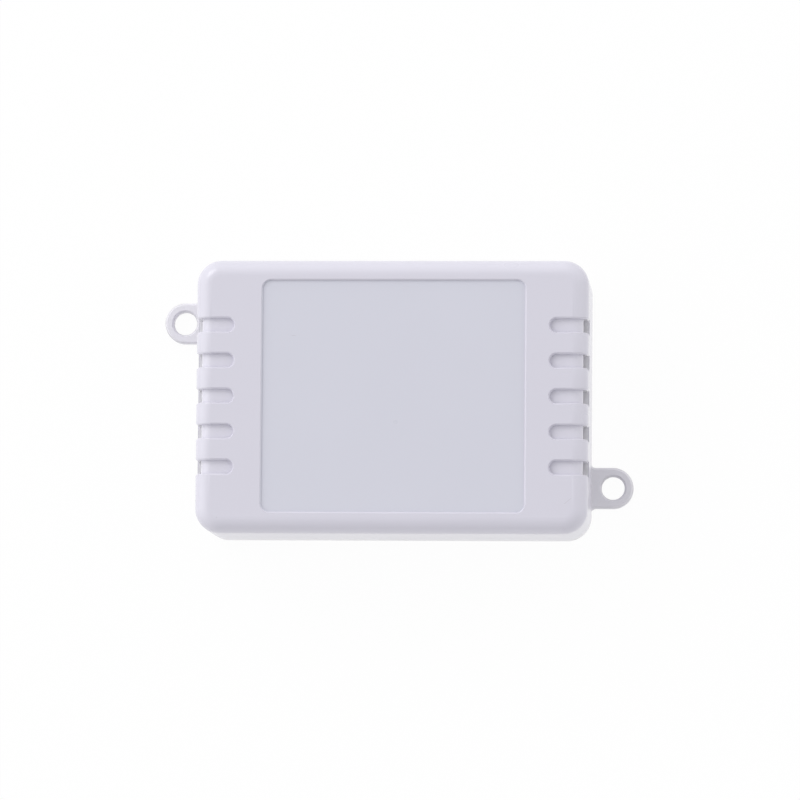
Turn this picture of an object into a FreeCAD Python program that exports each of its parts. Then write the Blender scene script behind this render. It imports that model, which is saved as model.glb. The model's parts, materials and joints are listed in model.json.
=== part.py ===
import FreeCAD, Part
import math
import os
import re

import Sketcher
from FreeCAD import Placement, Rotation, Vector

# A wall mounted temperature and humidity sensor, lying on its back.
# +X runs along the long side, +Y up the wall, +Z out of the front. z = 0 is the back face and
# the origin is the middle of the back. All sizes are in millimetres.

OUTPUT_FOLDER = "parts"
TOUCH = 0.001

# Each row is one cell of the sheet: its alias, its value or formula, and what it measures.
SIZES = (
    ("end_bay", "11.3", "room and wall past each end of the battery holder"),
    ("electronics_bay", "23.9", "room and walls beside the battery holder"),
    ("cell_headroom", "0.8", "room between the cells and the front"),
    ("corner_radius", "5.0", "case corners seen from the front"),
    ("front_round", "3.2", "rounding between the front and the sides"),
    ("back_bevel", "0.6", "bevel between the back and the sides"),
    ("side_wall", "2.0", "side walls of both shells"),
    ("front_skin", "2.2", "thickness of the front"),
    ("floor_thickness", "2.0", "thickness of the back"),
    ("ceiling_bevel", "1.0", "bevelled inside corner between the front and the sides"),
    ("split_height", "5.0", "height of the joint between the two shells"),
    ("rim_skin", "1.0", "cover wall left outside the lip"),
    ("lip_height", "1.6", "lip of the base above the joint"),
    ("lip_gap", "0.15", "clearance between the lip and the cover"),
    ("case_length", "=holder_length + 2 * end_bay", "case along X, without the ears"),
    ("case_width", "=holder_width + electronics_bay", "case along Y"),
    ("case_depth", "=cell_axis + cell_diameter / 2 + cell_headroom + front_skin", "back to front"),
    ("half_length", "=case_length / 2", "side of the case"),
    ("inner_length", "=case_length - 2 * side_wall", "room inside along X"),
    ("inner_width", "=case_width - 2 * side_wall", "room inside along Y"),
    ("inner_corner", "=corner_radius - side_wall", "inside corners"),
    ("ceiling_height", "=case_depth - front_skin", "underside of the front"),
    ("label_end_margin", "13.25", "front left at each end of the label recess"),
    ("label_side_margin", "4.3", "front left above and below the label recess"),
    ("label_length", "=case_length - 2 * label_end_margin", "label recess along X"),
    ("label_width", "=case_width - 2 * label_side_margin", "label recess along Y"),
    ("label_corner", "1.8", "corners of the label recess"),
    ("label_depth", "0.5", "depth of the label recess"),
    ("label_shift", "0.4", "label recess centre towards +X"),
    ("label_edge", "0.3", "bevel at the rim of the recess"),
    ("vent_width", "2.8", "each vent slot across"),
    ("vent_pitch", "7.25", "vent to vent"),
    ("vent_count", "5", "vents on each short side"),
    ("vent_start", "7.8", "inboard end of a vent from the side of the case"),
    ("vent_depth", "1.1", "groove depth, on the front and round the edge"),
    ("vent_drop", "4.0", "height of the opening under the rounded edge"),
    ("vent_edge", "0.3", "bevel along the vent edges"),
    ("vent_lap", "0.3", "ledge under an opening, on past the end of the vent's floor"),
    ("vent_overrun", "0.5", "channel inside a vent, past the inner face of the wall"),
    ("ear_reach", "4.45", "ear hole beyond the side of the case"),
    ("ear_rise", "17.0", "ear hole above or below the middle"),
    ("ear_width", "8.4", "ear across, and the diameter of its end"),
    ("ear_thickness", "2.4", "thickness of the ears"),
    ("ear_hole", "4.8", "diameter of the ear holes"),
    ("ear_flare", "1.0", "radius where an ear runs into the case"),
    ("ear_edge", "0.4", "bevel of the ears' front edge"),
    ("standoff_height", "3.0", "standoffs above the floor of the base"),
    ("standoff_width", "5.0", "square standoffs of the board"),
    ("standoff_inset", "4.0", "standoffs from the board's short edges"),
    ("standoff_rise", "13.2", "standoffs above and below the middle"),
    ("floor_rib", "1.0", "ribs on the floor, thickness"),
    ("floor_rib_height", "1.2", "ribs on the floor, height"),
    ("board_thickness", "1.6", "circuit board"),
    ("board_gap", "1.2", "board edge to the inside of the case"),
    ("hook_rise", "18.0", "hooks over the board's short edges, above and below the middle"),
    ("hook_width", "3.0", "hooks along Y"),
    ("hook_sheet", "1.0", "thickness of the hooks"),
    ("hook_inset", "0.8", "hooks inside the line of the board's edge"),
    ("hook_gap", "0.1", "board notch round each hook"),
    ("hook_nose", "0.6", "nose of a hook over the board"),
    ("hook_nose_height", "1.2", "nose of a hook above the board"),
    ("board_length", "=inner_length - 2 * board_gap", "circuit board along X"),
    ("board_width", "=inner_width - 2 * board_gap", "circuit board along Y"),
    ("board_bottom", "=floor_thickness + standoff_height", "underside of the board"),
    ("board_top", "=board_bottom + board_thickness", "top of the board"),
    ("standoff_x", "=board_length / 2 - standoff_inset", "standoffs along X"),
    ("board_top_edge", "=board_width / 2", "the board's edge at +Y"),
    ("relief_width", "1.0", "slots in the board round the sensor"),
    ("relief_length", "10.0", "slot along Y inboard of the sensor"),
    ("relief_reach", "6.4", "board left between that slot and the edge"),
    ("relief_arm", "3.6", "slots along X above and below the sensor"),
    ("cell_length", "50.5", "cell over its terminal"),
    ("cell_diameter", "14.2", "cell"),
    ("terminal_height", "1.0", "positive terminal of a cell"),
    ("terminal_diameter", "5.5", "positive terminal of a cell"),
    ("cell_play", "0.3", "clearance between a cell and its trough"),
    ("cell_web", "0.7", "wall between the two cells"),
    ("holder_wall", "0.8", "long walls of the holder"),
    ("holder_end", "1.2", "end walls of the holder"),
    ("holder_floor", "0.9", "floor of the holder"),
    ("holder_height", "13.0", "height of the holder"),
    ("holder_edge_gap", "0.1", "holder from the board's edge at -Y"),
    ("window_length", "30.0", "finger window in the long walls"),
    ("window_sill", "6.0", "sill of the window above the board"),
    ("trough_radius", "=cell_diameter / 2 + cell_play", "trough of a cell"),
    ("cell_pitch", "=2 * trough_radius + cell_web", "cell to cell"),
    ("holder_width", "=2 * cell_pitch - cell_web + 2 * holder_wall", "holder along Y"),
    ("holder_y", "=holder_width / 2 + holder_edge_gap - board_top_edge", "middle of the holder"),
    ("holder_top_edge", "=holder_y + holder_width / 2", "the holder's edge at +Y"),
    ("cell_axis", "=board_top + holder_floor + trough_radius", "height of the cells' axes"),
    ("contact_sheet", "0.4", "thickness of the contacts"),
    ("contact_seat", "0.05", "contact to the end wall"),
    ("contact_width", "9.0", "contact across a cell"),
    ("contact_height", "=2 * (holder_height - holder_floor - trough_radius)",
     "contact up a cell, flush with the holder's top"),
    ("button_height", "0.5", "raised button of a positive contact"),
    ("button_diameter", "4.6", "raised button of a positive contact"),
    ("bow_height", "2.9", "bowed spring of a negative contact"),
    ("bow_half_chord", "4.5", "half its length against the plate"),
    ("bow_sheet", "0.3", "thickness of the bow"),
    ("bow_width", "5.0", "width of the bow"),
    ("bow_free_gap", "0.4", "free end of the bow to its plate"),
    ("cell_touch", "0.1", "cell end to contact"),
    ("tail_width", "1.2", "solder tail of a contact"),
    ("tail_proud", "1.0", "tail below the board"),
    ("tail_play", "0.2", "room round the tail"),
    ("contact_room", "=contact_sheet + contact_seat", "end wall to contact face"),
    ("trough_length", "=cell_length + button_height + bow_height + 2 * (contact_room + cell_touch)",
     "inside length of the holder"),
    ("holder_length", "=trough_length + 2 * holder_end", "holder along X"),
    ("cell_back", "=trough_length / 2 - contact_room - bow_height - cell_touch",
     "flat end of a cell from the middle"),
    ("bow_radius", "=(bow_half_chord ^ 2 + bow_height ^ 2) / (2 * bow_height)", "outside of the bow"),
    ("radio_length", "17.0", "radio board along X"),
    ("radio_width", "12.0", "radio board along Y"),
    ("radio_thickness", "0.8", "radio board"),
    ("radio_x", "17.3", "radio board from the left end of the board"),
    ("radio_edge_gap", "0.6", "radio board from the board's edge at +Y"),
    ("radio_y", "=board_top_edge - radio_edge_gap - radio_width / 2", "middle of the radio board"),
    ("castellation_width", "0.8", "notches along the radio board"),
    ("castellation_pitch", "1.9", "notch to notch"),
    ("castellation_count", "6", "notches on each long edge"),
    ("can_length", "11.0", "shield can along X"),
    ("can_width", "10.0", "shield can along Y"),
    ("can_height", "1.9", "shield can"),
    ("can_bevel", "0.3", "shield can edges"),
    ("can_shift", "2.2", "shield can from the middle of the radio board"),
    ("antenna_length", "7.0", "chip antenna along Y"),
    ("antenna_width", "2.2", "chip antenna along X"),
    ("antenna_height", "1.2", "chip antenna"),
    ("antenna_shift", "6.4", "antenna from the middle of the radio board"),
    ("processor_size", "7.0", "microcontroller body"),
    ("processor_height", "1.4", "microcontroller body"),
    ("processor_x", "33.4", "microcontroller from the left end of the board"),
    ("processor_drop", "7.4", "microcontroller below the board's edge"),
    ("memory_length", "4.9", "memory chip along X"),
    ("memory_width", "3.9", "memory chip along Y"),
    ("memory_height", "1.5", "memory chip"),
    ("memory_x", "43.2", "memory chip from the left end of the board"),
    ("memory_drop", "6.0", "memory chip below the board's edge"),
    ("lead_width", "0.35", "chip leads"),
    ("lead_sheet", "0.2", "thickness of the leads"),
    ("lead_foot", "1.0", "lead beyond the body of its chip"),
    ("lead_pitch", "1.0", "microcontroller leads"),
    ("lead_count", "6", "microcontroller leads on each side"),
    ("memory_lead_pitch", "1.27", "memory chip leads"),
    ("memory_lead_count", "4", "memory chip leads on each side"),
    ("crystal_length", "11.0", "crystal can along X"),
    ("crystal_width", "4.6", "crystal can along Y"),
    ("crystal_height", "3.4", "crystal can"),
    ("crystal_flange", "0.4", "flange round the crystal's foot"),
    ("crystal_corner", "2.1", "rounded ends of the crystal's foot"),
    ("crystal_x", "32.2", "crystal from the left end of the board"),
    ("crystal_rise", "2.8", "crystal above the holder"),
    ("diode_length", "4.3", "diode body along X"),
    ("diode_width", "2.6", "diode body along Y"),
    ("diode_height", "2.1", "diode body"),
    ("diode_x", "43.0", "diode from the left end of the board"),
    ("diode_rise", "3.0", "diode above the holder"),
    ("inductor_size", "5.0", "inductor block"),
    ("inductor_height", "2.8", "inductor block"),
    ("inductor_groove", "4.0", "ring groove in the inductor's top, outside"),
    ("inductor_core", "3.4", "ring groove in the inductor's top, inside"),
    ("inductor_x", "64.2", "inductor, and the regulator above it, from the left end of the board"),
    ("inductor_rise", "3.0", "inductor above the holder"),
    ("regulator_length", "4.5", "regulator body along X"),
    ("regulator_width", "2.5", "regulator body along Y"),
    ("regulator_height", "1.5", "regulator body"),
    ("regulator_drop", "7.4", "regulator below the board's edge"),
    ("capacitor_diameter", "6.3", "capacitor can"),
    ("capacitor_height", "5.4", "capacitor can above its base"),
    ("capacitor_base", "6.6", "square base of the capacitor"),
    ("capacitor_base_height", "1.0", "base of the capacitor"),
    ("capacitor_base_cut", "1.3", "cut corners that mark one side of the base"),
    ("capacitor_bevel", "0.4", "slope at the top of the can"),
    ("capacitor_x", "57.4", "capacitor from the left end of the board"),
    ("capacitor_rise", "4.4", "capacitor above the holder"),
    ("switch_size", "6.0", "switch housing"),
    ("switch_height", "3.3", "switch housing"),
    ("switch_x", "50.0", "switch, and the lamp above it, from the left end of the board"),
    ("switch_rise", "4.4", "switch above the holder"),
    ("switch_well", "4.6", "well in the switch housing"),
    ("switch_well_floor", "0.9", "floor under the well"),
    ("spring_rise", "0.55", "crown of the snap spring"),
    ("spring_sheet", "0.1", "thickness of the snap spring"),
    ("spring_crown", "2.0", "length of its crown"),
    ("spring_width", "1.8", "width of the snap spring"),
    ("plunger_diameter", "3.5", "plunger above its collar"),
    ("plunger_collar", "4.2", "collar of the plunger"),
    ("plunger_proud", "1.4", "plunger above the switch"),
    ("plunger_seat", "0.05", "plunger to the spring and to the plate"),
    ("plunger_play", "0.15", "plunger in its hole, all round"),
    ("plate_sheet", "0.3", "metal plate on the switch"),
    ("plunger_base", "=switch_well_floor + spring_rise + spring_sheet + plunger_seat",
     "foot of the plunger above the board"),
    ("plunger_collar_height", "=switch_height - plunger_seat - plunger_base", "collar of the plunger"),
    ("sensor_size", "2.5", "sensor chip"),
    ("sensor_height", "0.9", "sensor chip"),
    ("sensor_opening", "1.0", "opening in the top of the sensor chip"),
    ("sensor_edge_gap", "3.3", "sensor from the board's edge at +X"),
    ("cap_size", "5.2", "filter cap over the sensor"),
    ("cap_height", "2.3", "filter cap"),
    ("cap_wall", "0.8", "walls of the filter cap"),
    ("cap_roof", "0.9", "roof of the filter cap"),
    ("cap_opening", "2.0", "opening under the membrane"),
    ("membrane_size", "3.2", "square filter membrane"),
    ("membrane_sheet", "0.3", "thickness of the membrane"),
    ("membrane_play", "0.05", "membrane in its seat, all round"),
    ("header_pitch", "2.54", "pin to pin"),
    ("header_count", "5", "pins of the header"),
    ("header_height", "2.5", "block of the header"),
    ("header_pin", "0.64", "square pins"),
    ("header_pin_rise", "8.5", "pins above the board"),
    ("header_pin_play", "0.03", "pins in their block, all round"),
    ("header_hole", "1.1", "pin holes in the board"),
    ("header_x", "54.0", "header from the left end of the board"),
    ("header_drop", "2.1", "header below the board's edge"),
    ("led_length", "2.0", "status lamp along X"),
    ("led_width", "1.25", "status lamp along Y"),
    ("led_base_height", "0.4", "base of the lamp"),
    ("led_lens_height", "0.5", "lens of the lamp"),
    ("led_lens_length", "1.2", "lens of the lamp along X"),
    ("led_drop", "6.0", "lamp below the board's edge"),
    ("chip_length", "1.6", "chip resistor or capacitor, long way"),
    ("chip_width", "0.8", "chip resistor or capacitor, short way"),
    ("resistor_height", "0.5", "chip resistors"),
    ("capacitor_chip_height", "0.8", "chip capacitors"),
)

doc = FreeCAD.newDocument("TemperatureHumiditySensor")
sheet = doc.addObject("Spreadsheet::Sheet", "Sizes")
sub_parts = []


def fill_sheet():
    for row, (alias, content, meaning) in enumerate(SIZES, start=1):
        sheet.set("A%d" % row, meaning)
        sheet.set("B%d" % row, content)
        sheet.setAlias("B%d" % row, alias)
    doc.recompute()


ALIASES = {alias for alias, content, meaning in SIZES}


def linked(expression):
    """The expression with each alias written as a cell of the sheet."""
    return re.sub(r"[a-z_]+", lambda word: "Sizes." + word[0] if word[0] in ALIASES else word[0], expression)


def number(expression):
    """What the expression comes to now."""
    return float(sheet.evalExpression(expression))


def bind(target, prop, expression):
    target.setExpression(prop, linked(expression))


def along_board(distance):
    """A place along X that is measured from the left end of the board."""
    return "(%s - board_length / 2)" % distance


def named_sub_part(target, label):
    target.Label = label
    sub_parts.append(target)
    return target


def new_body(label, x="0", y="0", z="0", turned=False):
    """A body at a place, turned half round about Z where it faces the other way."""
    body = doc.addObject("PartDesign::Body", label)
    if turned:
        body.Placement = Placement(Vector(0, 0, 0), Rotation(Vector(0, 0, 1), 180))
    bind(body, "Placement.Base.x", x)
    bind(body, "Placement.Base.y", y)
    bind(body, "Placement.Base.z", z)
    return named_sub_part(body, label)


def origin_feature(body, role):
    return next(feature for feature in body.Origin.OriginFeatures if feature.Role == role)


def new_sketch(body, name, plane="XY_Plane", offset="0"):
    sketch = body.newObject("Sketcher::SketchObject", name)
    sketch.AttachmentSupport = [(origin_feature(body, plane), "")]
    sketch.MapMode = "FlatFace"
    bind(sketch, "AttachmentOffset.Base.z", offset)
    return sketch


def constrain(sketch, kind, references, expression):
    index = sketch.addConstraint(Sketcher.Constraint(kind, *references, number(expression)))
    bind(sketch, "Constraints[%d]" % index, expression)


def add_outline(sketch, corners):
    """A closed outline. A corner is x, y, or x, y, radius and side where an arc leaves it for the next
    corner, with its centre to the left or right of that way."""
    first = sketch.GeometryCount
    count = len(corners)
    places = [Vector(number(corner[0]), number(corner[1]), 0) for corner in corners]
    for index, corner in enumerate(corners):
        start = places[index]
        end = places[(index + 1) % count]
        if len(corner) == 2:
            sketch.addGeometry(Part.LineSegment(start, end), False)
            continue
        radius = number(corner[2])
        chord = end - start
        side = Vector(-chord.y, chord.x, 0).normalize() * (1 if corner[3] == "left" else -1)
        centre = (start + end) / 2 + side * math.sqrt(max(radius ** 2 - chord.Length ** 2 / 4, 0))
        middle = centre - side * radius
        sketch.addGeometry(Part.Arc(start, middle, end), False)
    for index in range(count):
        this_end = edge_end(sketch, first + index, places[(index + 1) % count])
        next_start = edge_end(sketch, first + (index + 1) % count, places[(index + 1) % count])
        sketch.addConstraint(Sketcher.Constraint(
            "Coincident", first + index, this_end, first + (index + 1) % count, next_start))
    for index, corner in enumerate(corners):
        start_end = edge_end(sketch, first + index, places[index])
        constrain(sketch, "DistanceX", (-1, 1, first + index, start_end), corner[0])
        constrain(sketch, "DistanceY", (-1, 1, first + index, start_end), corner[1])
        if len(corner) > 2:
            constrain(sketch, "Radius", (first + index,), corner[2])


def edge_end(sketch, geometry, place):
    """1 if the geometry starts at the place and 2 if it ends there: an arc may be stored either way."""
    return 1 if sketch.getPoint(geometry, 1).distanceToPoint(place) < TOUCH else 2


def add_rectangle(sketch, length, width, x="0", y="0", radius=None):
    left = "%s - (%s) / 2" % (x, length)
    right = "%s + (%s) / 2" % (x, length)
    low = "%s - (%s) / 2" % (y, width)
    high = "%s + (%s) / 2" % (y, width)
    if radius is None:
        add_outline(sketch, ((left, low), (right, low), (right, high), (left, high)))
        return
    inwards = " + (%s)" % radius
    outwards = " - (%s)" % radius
    add_outline(sketch, (
        (left + inwards, low), (right + outwards, low, radius, "left"),
        (right, low + inwards), (right, high + outwards, radius, "left"),
        (right + outwards, high), (left + inwards, high, radius, "left"),
        (left, high + outwards), (left, low + inwards, radius, "left")))


def add_circle(sketch, diameter, x="0", y="0"):
    index = sketch.addGeometry(
        Part.Circle(Vector(number(x), number(y), 0), Vector(0, 0, 1), number(diameter) / 2), False)
    constrain(sketch, "Diameter", (index,), diameter)
    constrain(sketch, "DistanceX", (-1, 1, index, 3), x)
    constrain(sketch, "DistanceY", (-1, 1, index, 3), y)


def add_pad(body, sketch, length, name, down=False, both_ways=False):
    pad = body.newObject("PartDesign::Pad", name)
    pad.Profile = sketch
    pad.Reversed = down
    if both_ways:
        pad.SideType = "Symmetric"
    bind(pad, "Length", length)
    doc.recompute()
    return pad


def add_pocket(body, sketch, depth, name, up=False, both_ways=False):
    """A cut along the sketch's normal backwards, or forwards with up, that has to remove something."""
    volume = body.Shape.Volume
    pocket = body.newObject("PartDesign::Pocket", name)
    pocket.Profile = sketch
    pocket.Reversed = up
    if both_ways:
        pocket.SideType = "Symmetric"
    bind(pocket, "Length", depth)
    doc.recompute()
    if not body.Shape.Volume < volume:
        raise RuntimeError("%s of %s cuts nothing" % (name, body.Label))
    return pocket


def add_turned(body, profile, name, axis="V_Axis"):
    turned = body.newObject("PartDesign::Revolution", name)
    turned.Profile = profile
    turned.ReferenceAxis = (profile, [axis])
    turned.Angle = 360
    doc.recompute()
    return turned


def add_row(body, features, axis, pitch, count, name):
    row = body.newObject("PartDesign::LinearPattern", name)
    row.Originals = features
    row.Direction = (origin_feature(body, axis), [""])
    bind(row, "Length", "(%s) * (%s - 1)" % (pitch, count))
    bind(row, "Occurrences", count)
    body.Tip = row
    doc.recompute()
    return row


def add_rounding(body, edge_names, radius, name, kind="Fillet"):
    base = body.Tip
    rounding = body.newObject("PartDesign::" + kind, name)
    rounding.Base = (base, edge_names)
    bind(rounding, "Radius" if kind == "Fillet" else "Size", radius)
    doc.recompute()
    return rounding


def edges_where(body, wanted):
    """Names of the edges whose start, middle and end all pass the test."""
    names = []
    for index, edge in enumerate(body.Tip.Shape.Edges, start=1):
        middle = edge.valueAt((edge.FirstParameter + edge.LastParameter) / 2)
        places = [edge.valueAt(edge.FirstParameter), middle, edge.valueAt(edge.LastParameter)]
        if wanted(places):
            names.append("Edge%d" % index)
    return names


def at_height(height):
    level = number(height)
    return lambda places: all(abs(place.z - level) < TOUCH for place in places)


def four_places(x, y):
    return [(sx + x, sy + y) for sx in ("", "-1 * ") for sy in ("", "-1 * ")]


# Front cover: a shell open at the back, with wrap-round vents. Outside grooves and inside channels
# meet in the side wall, above a ledge that hides the opening from the front.

def on_outer_skin(place):
    """Whether a place lies on the front, the rounded edge or the side at X."""
    over_side = max(abs(place.x) - number("half_length - front_round"), 0)
    over_front = max(place.z - number("case_depth - front_round"), 0)
    return abs(math.hypot(over_side, over_front) - number("front_round")) < TOUCH


def is_vent_rim(places):
    """Whether an edge is where a vent leaves the outer skin, apart from its lower end."""
    start, middle, end = places
    reach = number("vent_pitch * (vent_count - 1) / 2 + vent_width / 2") + TOUCH
    inboard = number("half_length - vent_start") - TOUCH
    along_y = abs(start.x - middle.x) + abs(start.z - middle.z) < TOUCH
    near_vents = all(abs(place.y) < reach and abs(place.x) > inboard for place in places)
    return near_vents and not along_y and all(on_outer_skin(place) for place in places)


def add_vents(body, side, name):
    """The vents of one short side. side is 1 or -1."""
    first_y = "vent_pitch * (vent_count - 1) / 2"
    sign = "%d * " % side
    profile = new_sketch(body, name + "_profile", "XZ_Plane", first_y)
    turn = "left" if side < 0 else "right"
    add_outline(profile, (
        (sign + "(half_length - vent_start + vent_width / 2)", "case_depth - vent_depth"),
        (sign + "(half_length - front_round)", "case_depth - vent_depth",
         "front_round - vent_depth", turn),
        (sign + "(half_length - vent_depth)", "case_depth - front_round"),
        (sign + "(half_length - vent_depth)", "case_depth - front_round - vent_drop"),
        (sign + "(half_length + vent_depth)", "case_depth - front_round - vent_drop"),
        (sign + "(half_length + vent_depth)", "case_depth + vent_depth"),
        (sign + "(half_length - vent_start + vent_width / 2)", "case_depth + vent_depth")))
    groove = add_pocket(body, profile, "vent_width", name + "_groove", both_ways=True)
    end_sketch = new_sketch(body, name + "_end_sketch", offset="case_depth")
    add_circle(end_sketch, "vent_width",
               sign + "(half_length - vent_start + vent_width / 2)", "-1 * " + first_y)
    end = add_pocket(body, end_sketch, "vent_depth", name + "_end")
    channel_profile = new_sketch(body, name + "_channel_profile", "XZ_Plane", first_y)
    inside = sign + "(half_length - side_wall - vent_overrun)"
    lap_end = sign + "(half_length - vent_depth - vent_lap)"
    add_outline(channel_profile, (
        (inside, "split_height"),
        (lap_end, "split_height"),
        (lap_end, "case_depth - front_round - vent_drop"),
        (sign + "(half_length - vent_depth)", "case_depth - front_round - vent_drop"),
        (sign + "(half_length - vent_depth)", "case_depth - front_round"),
        (inside, "case_depth - front_round")))
    channel = add_pocket(body, channel_profile, "vent_width", name + "_channel", both_ways=True)
    add_row(body, [groove, end, channel], "Y_Axis", "vent_pitch", "vent_count", name)


def make_front_cover():
    body = new_body("front_cover")
    outline = new_sketch(body, "cover_outline", offset="split_height")
    add_rectangle(outline, "case_length", "case_width", radius="corner_radius")
    add_pad(body, outline, "case_depth - split_height", "cover_block")
    add_rounding(body, edges_where(body, at_height("case_depth")), "front_round", "cover_front_round")
    room = new_sketch(body, "cover_room_sketch", offset="split_height")
    add_rectangle(room, "inner_length", "inner_width", radius="inner_corner")
    add_pocket(body, room, "ceiling_height - split_height", "cover_room", up=True)
    add_rounding(body, edges_where(body, at_height("ceiling_height")), "ceiling_bevel",
                 "cover_ceiling_bevel", "Chamfer")
    rebate = new_sketch(body, "cover_rebate_sketch", offset="split_height")
    add_rectangle(rebate, "case_length - 2 * rim_skin", "case_width - 2 * rim_skin",
                  radius="corner_radius - rim_skin")
    add_pocket(body, rebate, "lip_height + lip_gap", "cover_rebate", up=True)
    add_vents(body, 1, "right_vents")
    add_vents(body, -1, "left_vents")
    recess = new_sketch(body, "label_sketch", offset="case_depth")
    add_rectangle(recess, "label_length", "label_width", "label_shift", radius="label_corner")
    add_pocket(body, recess, "label_depth", "label_recess")
    add_rounding(body, edges_where(body, is_label_rim), "label_edge", "label_rim", "Chamfer")
    add_rounding(body, edges_where(body, is_vent_rim), "vent_edge", "vent_rims", "Chamfer")


def is_label_rim(places):
    reach = number("label_length / 2 + label_shift") + TOUCH
    on_front = at_height("case_depth")(places)
    return on_front and all(abs(place.x) < reach for place in places)


# Back base: a shallow tray with the mounting ears flush with its back, the lip that the cover snaps
# on to, and the standoffs and hooks that hold the board.

def add_ear(body, side):
    """The left ear is high and the right one low: side, 1 or -1, turns the ear half round. A sixth of a
    circle flares each long edge into the wall."""
    sign = "%d * " % side
    name = "right_ear" if side > 0 else "left_ear"
    middle = sign + "(-ear_rise)"
    root = sign + "(half_length - side_wall)"
    wall = sign + "half_length"
    flare_end = sign + "(half_length + ear_flare * sqrt(3) / 2)"
    hole_x = sign + "(half_length + ear_reach)"
    low, high = (middle + way + sign + "ear_width / 2" for way in (" - ", " + "))
    low_root, high_root = (
        middle + way + sign + "(ear_width / 2 + ear_flare / 2)" for way in (" - ", " + "))
    outline = new_sketch(body, name + "_sketch")
    add_outline(outline, (
        (root, low_root),
        (wall, low_root, "ear_flare", "right"),
        (flare_end, low),
        (hole_x, low),
        (hole_x, high),
        (flare_end, high, "ear_flare", "right"),
        (wall, high_root),
        (root, high_root)))
    add_pad(body, outline, "ear_thickness", name)
    end = new_sketch(body, name + "_end_sketch")
    add_circle(end, "ear_width", hole_x, middle)
    add_pad(body, end, "ear_thickness", name + "_end")
    hole = new_sketch(body, name + "_hole_sketch", offset="ear_thickness")
    add_circle(hole, "ear_hole", hole_x, middle)
    add_pocket(body, hole, "ear_thickness", name + "_hole")


def is_ear_rim(places):
    """Whether an edge bounds the front face of an ear, and isn't its root on the wall."""
    on_top = at_height("ear_thickness")(places)
    return on_top and abs(places[0].x + places[2].x) / 2 > number("half_length") + TOUCH


def make_back_base():
    body = new_body("back_base")
    outline = new_sketch(body, "base_outline")
    add_rectangle(outline, "case_length", "case_width", radius="corner_radius")
    add_pad(body, outline, "split_height", "base_block")
    add_rounding(body, edges_where(body, at_height("0")), "back_bevel", "base_back_bevel", "Chamfer")
    room = new_sketch(body, "base_room_sketch", offset="split_height")
    add_rectangle(room, "inner_length", "inner_width", radius="inner_corner")
    add_pocket(body, room, "split_height - floor_thickness", "base_room")
    lip = new_sketch(body, "lip_sketch", offset="split_height")
    add_rectangle(lip, "case_length - 2 * (rim_skin + lip_gap)", "case_width - 2 * (rim_skin + lip_gap)",
                  radius="corner_radius - rim_skin - lip_gap")
    add_rectangle(lip, "inner_length", "inner_width", radius="inner_corner")
    add_pad(body, lip, "lip_height", "lip")
    add_ear(body, 1)
    add_ear(body, -1)
    add_rounding(body, edges_where(body, is_ear_rim), "ear_edge", "ear_rims", "Chamfer")
    ribs = new_sketch(body, "floor_rib_sketch", offset="floor_thickness")
    add_rectangle(ribs, "2 * standoff_x", "floor_rib", "0", "standoff_rise")
    add_rectangle(ribs, "2 * standoff_x", "floor_rib", "0", "-1 * standoff_rise")
    add_pad(body, ribs, "floor_rib_height", "long_floor_ribs")
    cross = new_sketch(body, "cross_rib_sketch", offset="floor_thickness")
    for x in ("-1 * standoff_x", "-1 * standoff_x / 3", "standoff_x / 3", "standoff_x"):
        add_rectangle(cross, "floor_rib", "2 * standoff_rise", x, "0")
    add_pad(body, cross, "floor_rib_height", "cross_floor_ribs")
    standoffs = new_sketch(body, "standoff_sketch", offset="floor_thickness")
    for x, y in four_places("standoff_x", "standoff_rise"):
        add_rectangle(standoffs, "standoff_width", "standoff_width", x, y)
    add_pad(body, standoffs, "standoff_height", "standoffs")
    for index, (side, height) in enumerate(four_places("1", "hook_rise"), start=1):
        add_hook(body, side + " * ", height, "board_hook_%d" % index)


def add_hook(body, sign, y, name):
    """A springy tongue on the floor whose nose snaps over the edge of the board."""
    face = sign + "(board_length / 2 - hook_inset)"
    back = sign + "(board_length / 2 - hook_inset + hook_sheet)"
    nose = sign + "(board_length / 2 - hook_inset - hook_nose)"
    top = "board_top + hook_nose_height"
    profile = new_sketch(body, name + "_profile", "XZ_Plane", "-1 * (%s)" % y)
    add_outline(profile, (
        (face, "floor_thickness"), (back, "floor_thickness"), (back, top), (face, top),
        (nose, "board_top + hook_nose_height / 4"), (nose, "board_top"), (face, "board_top")))
    add_pad(body, profile, "hook_width", name, both_ways=True)


# Circuit board and what holds the cells.

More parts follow.
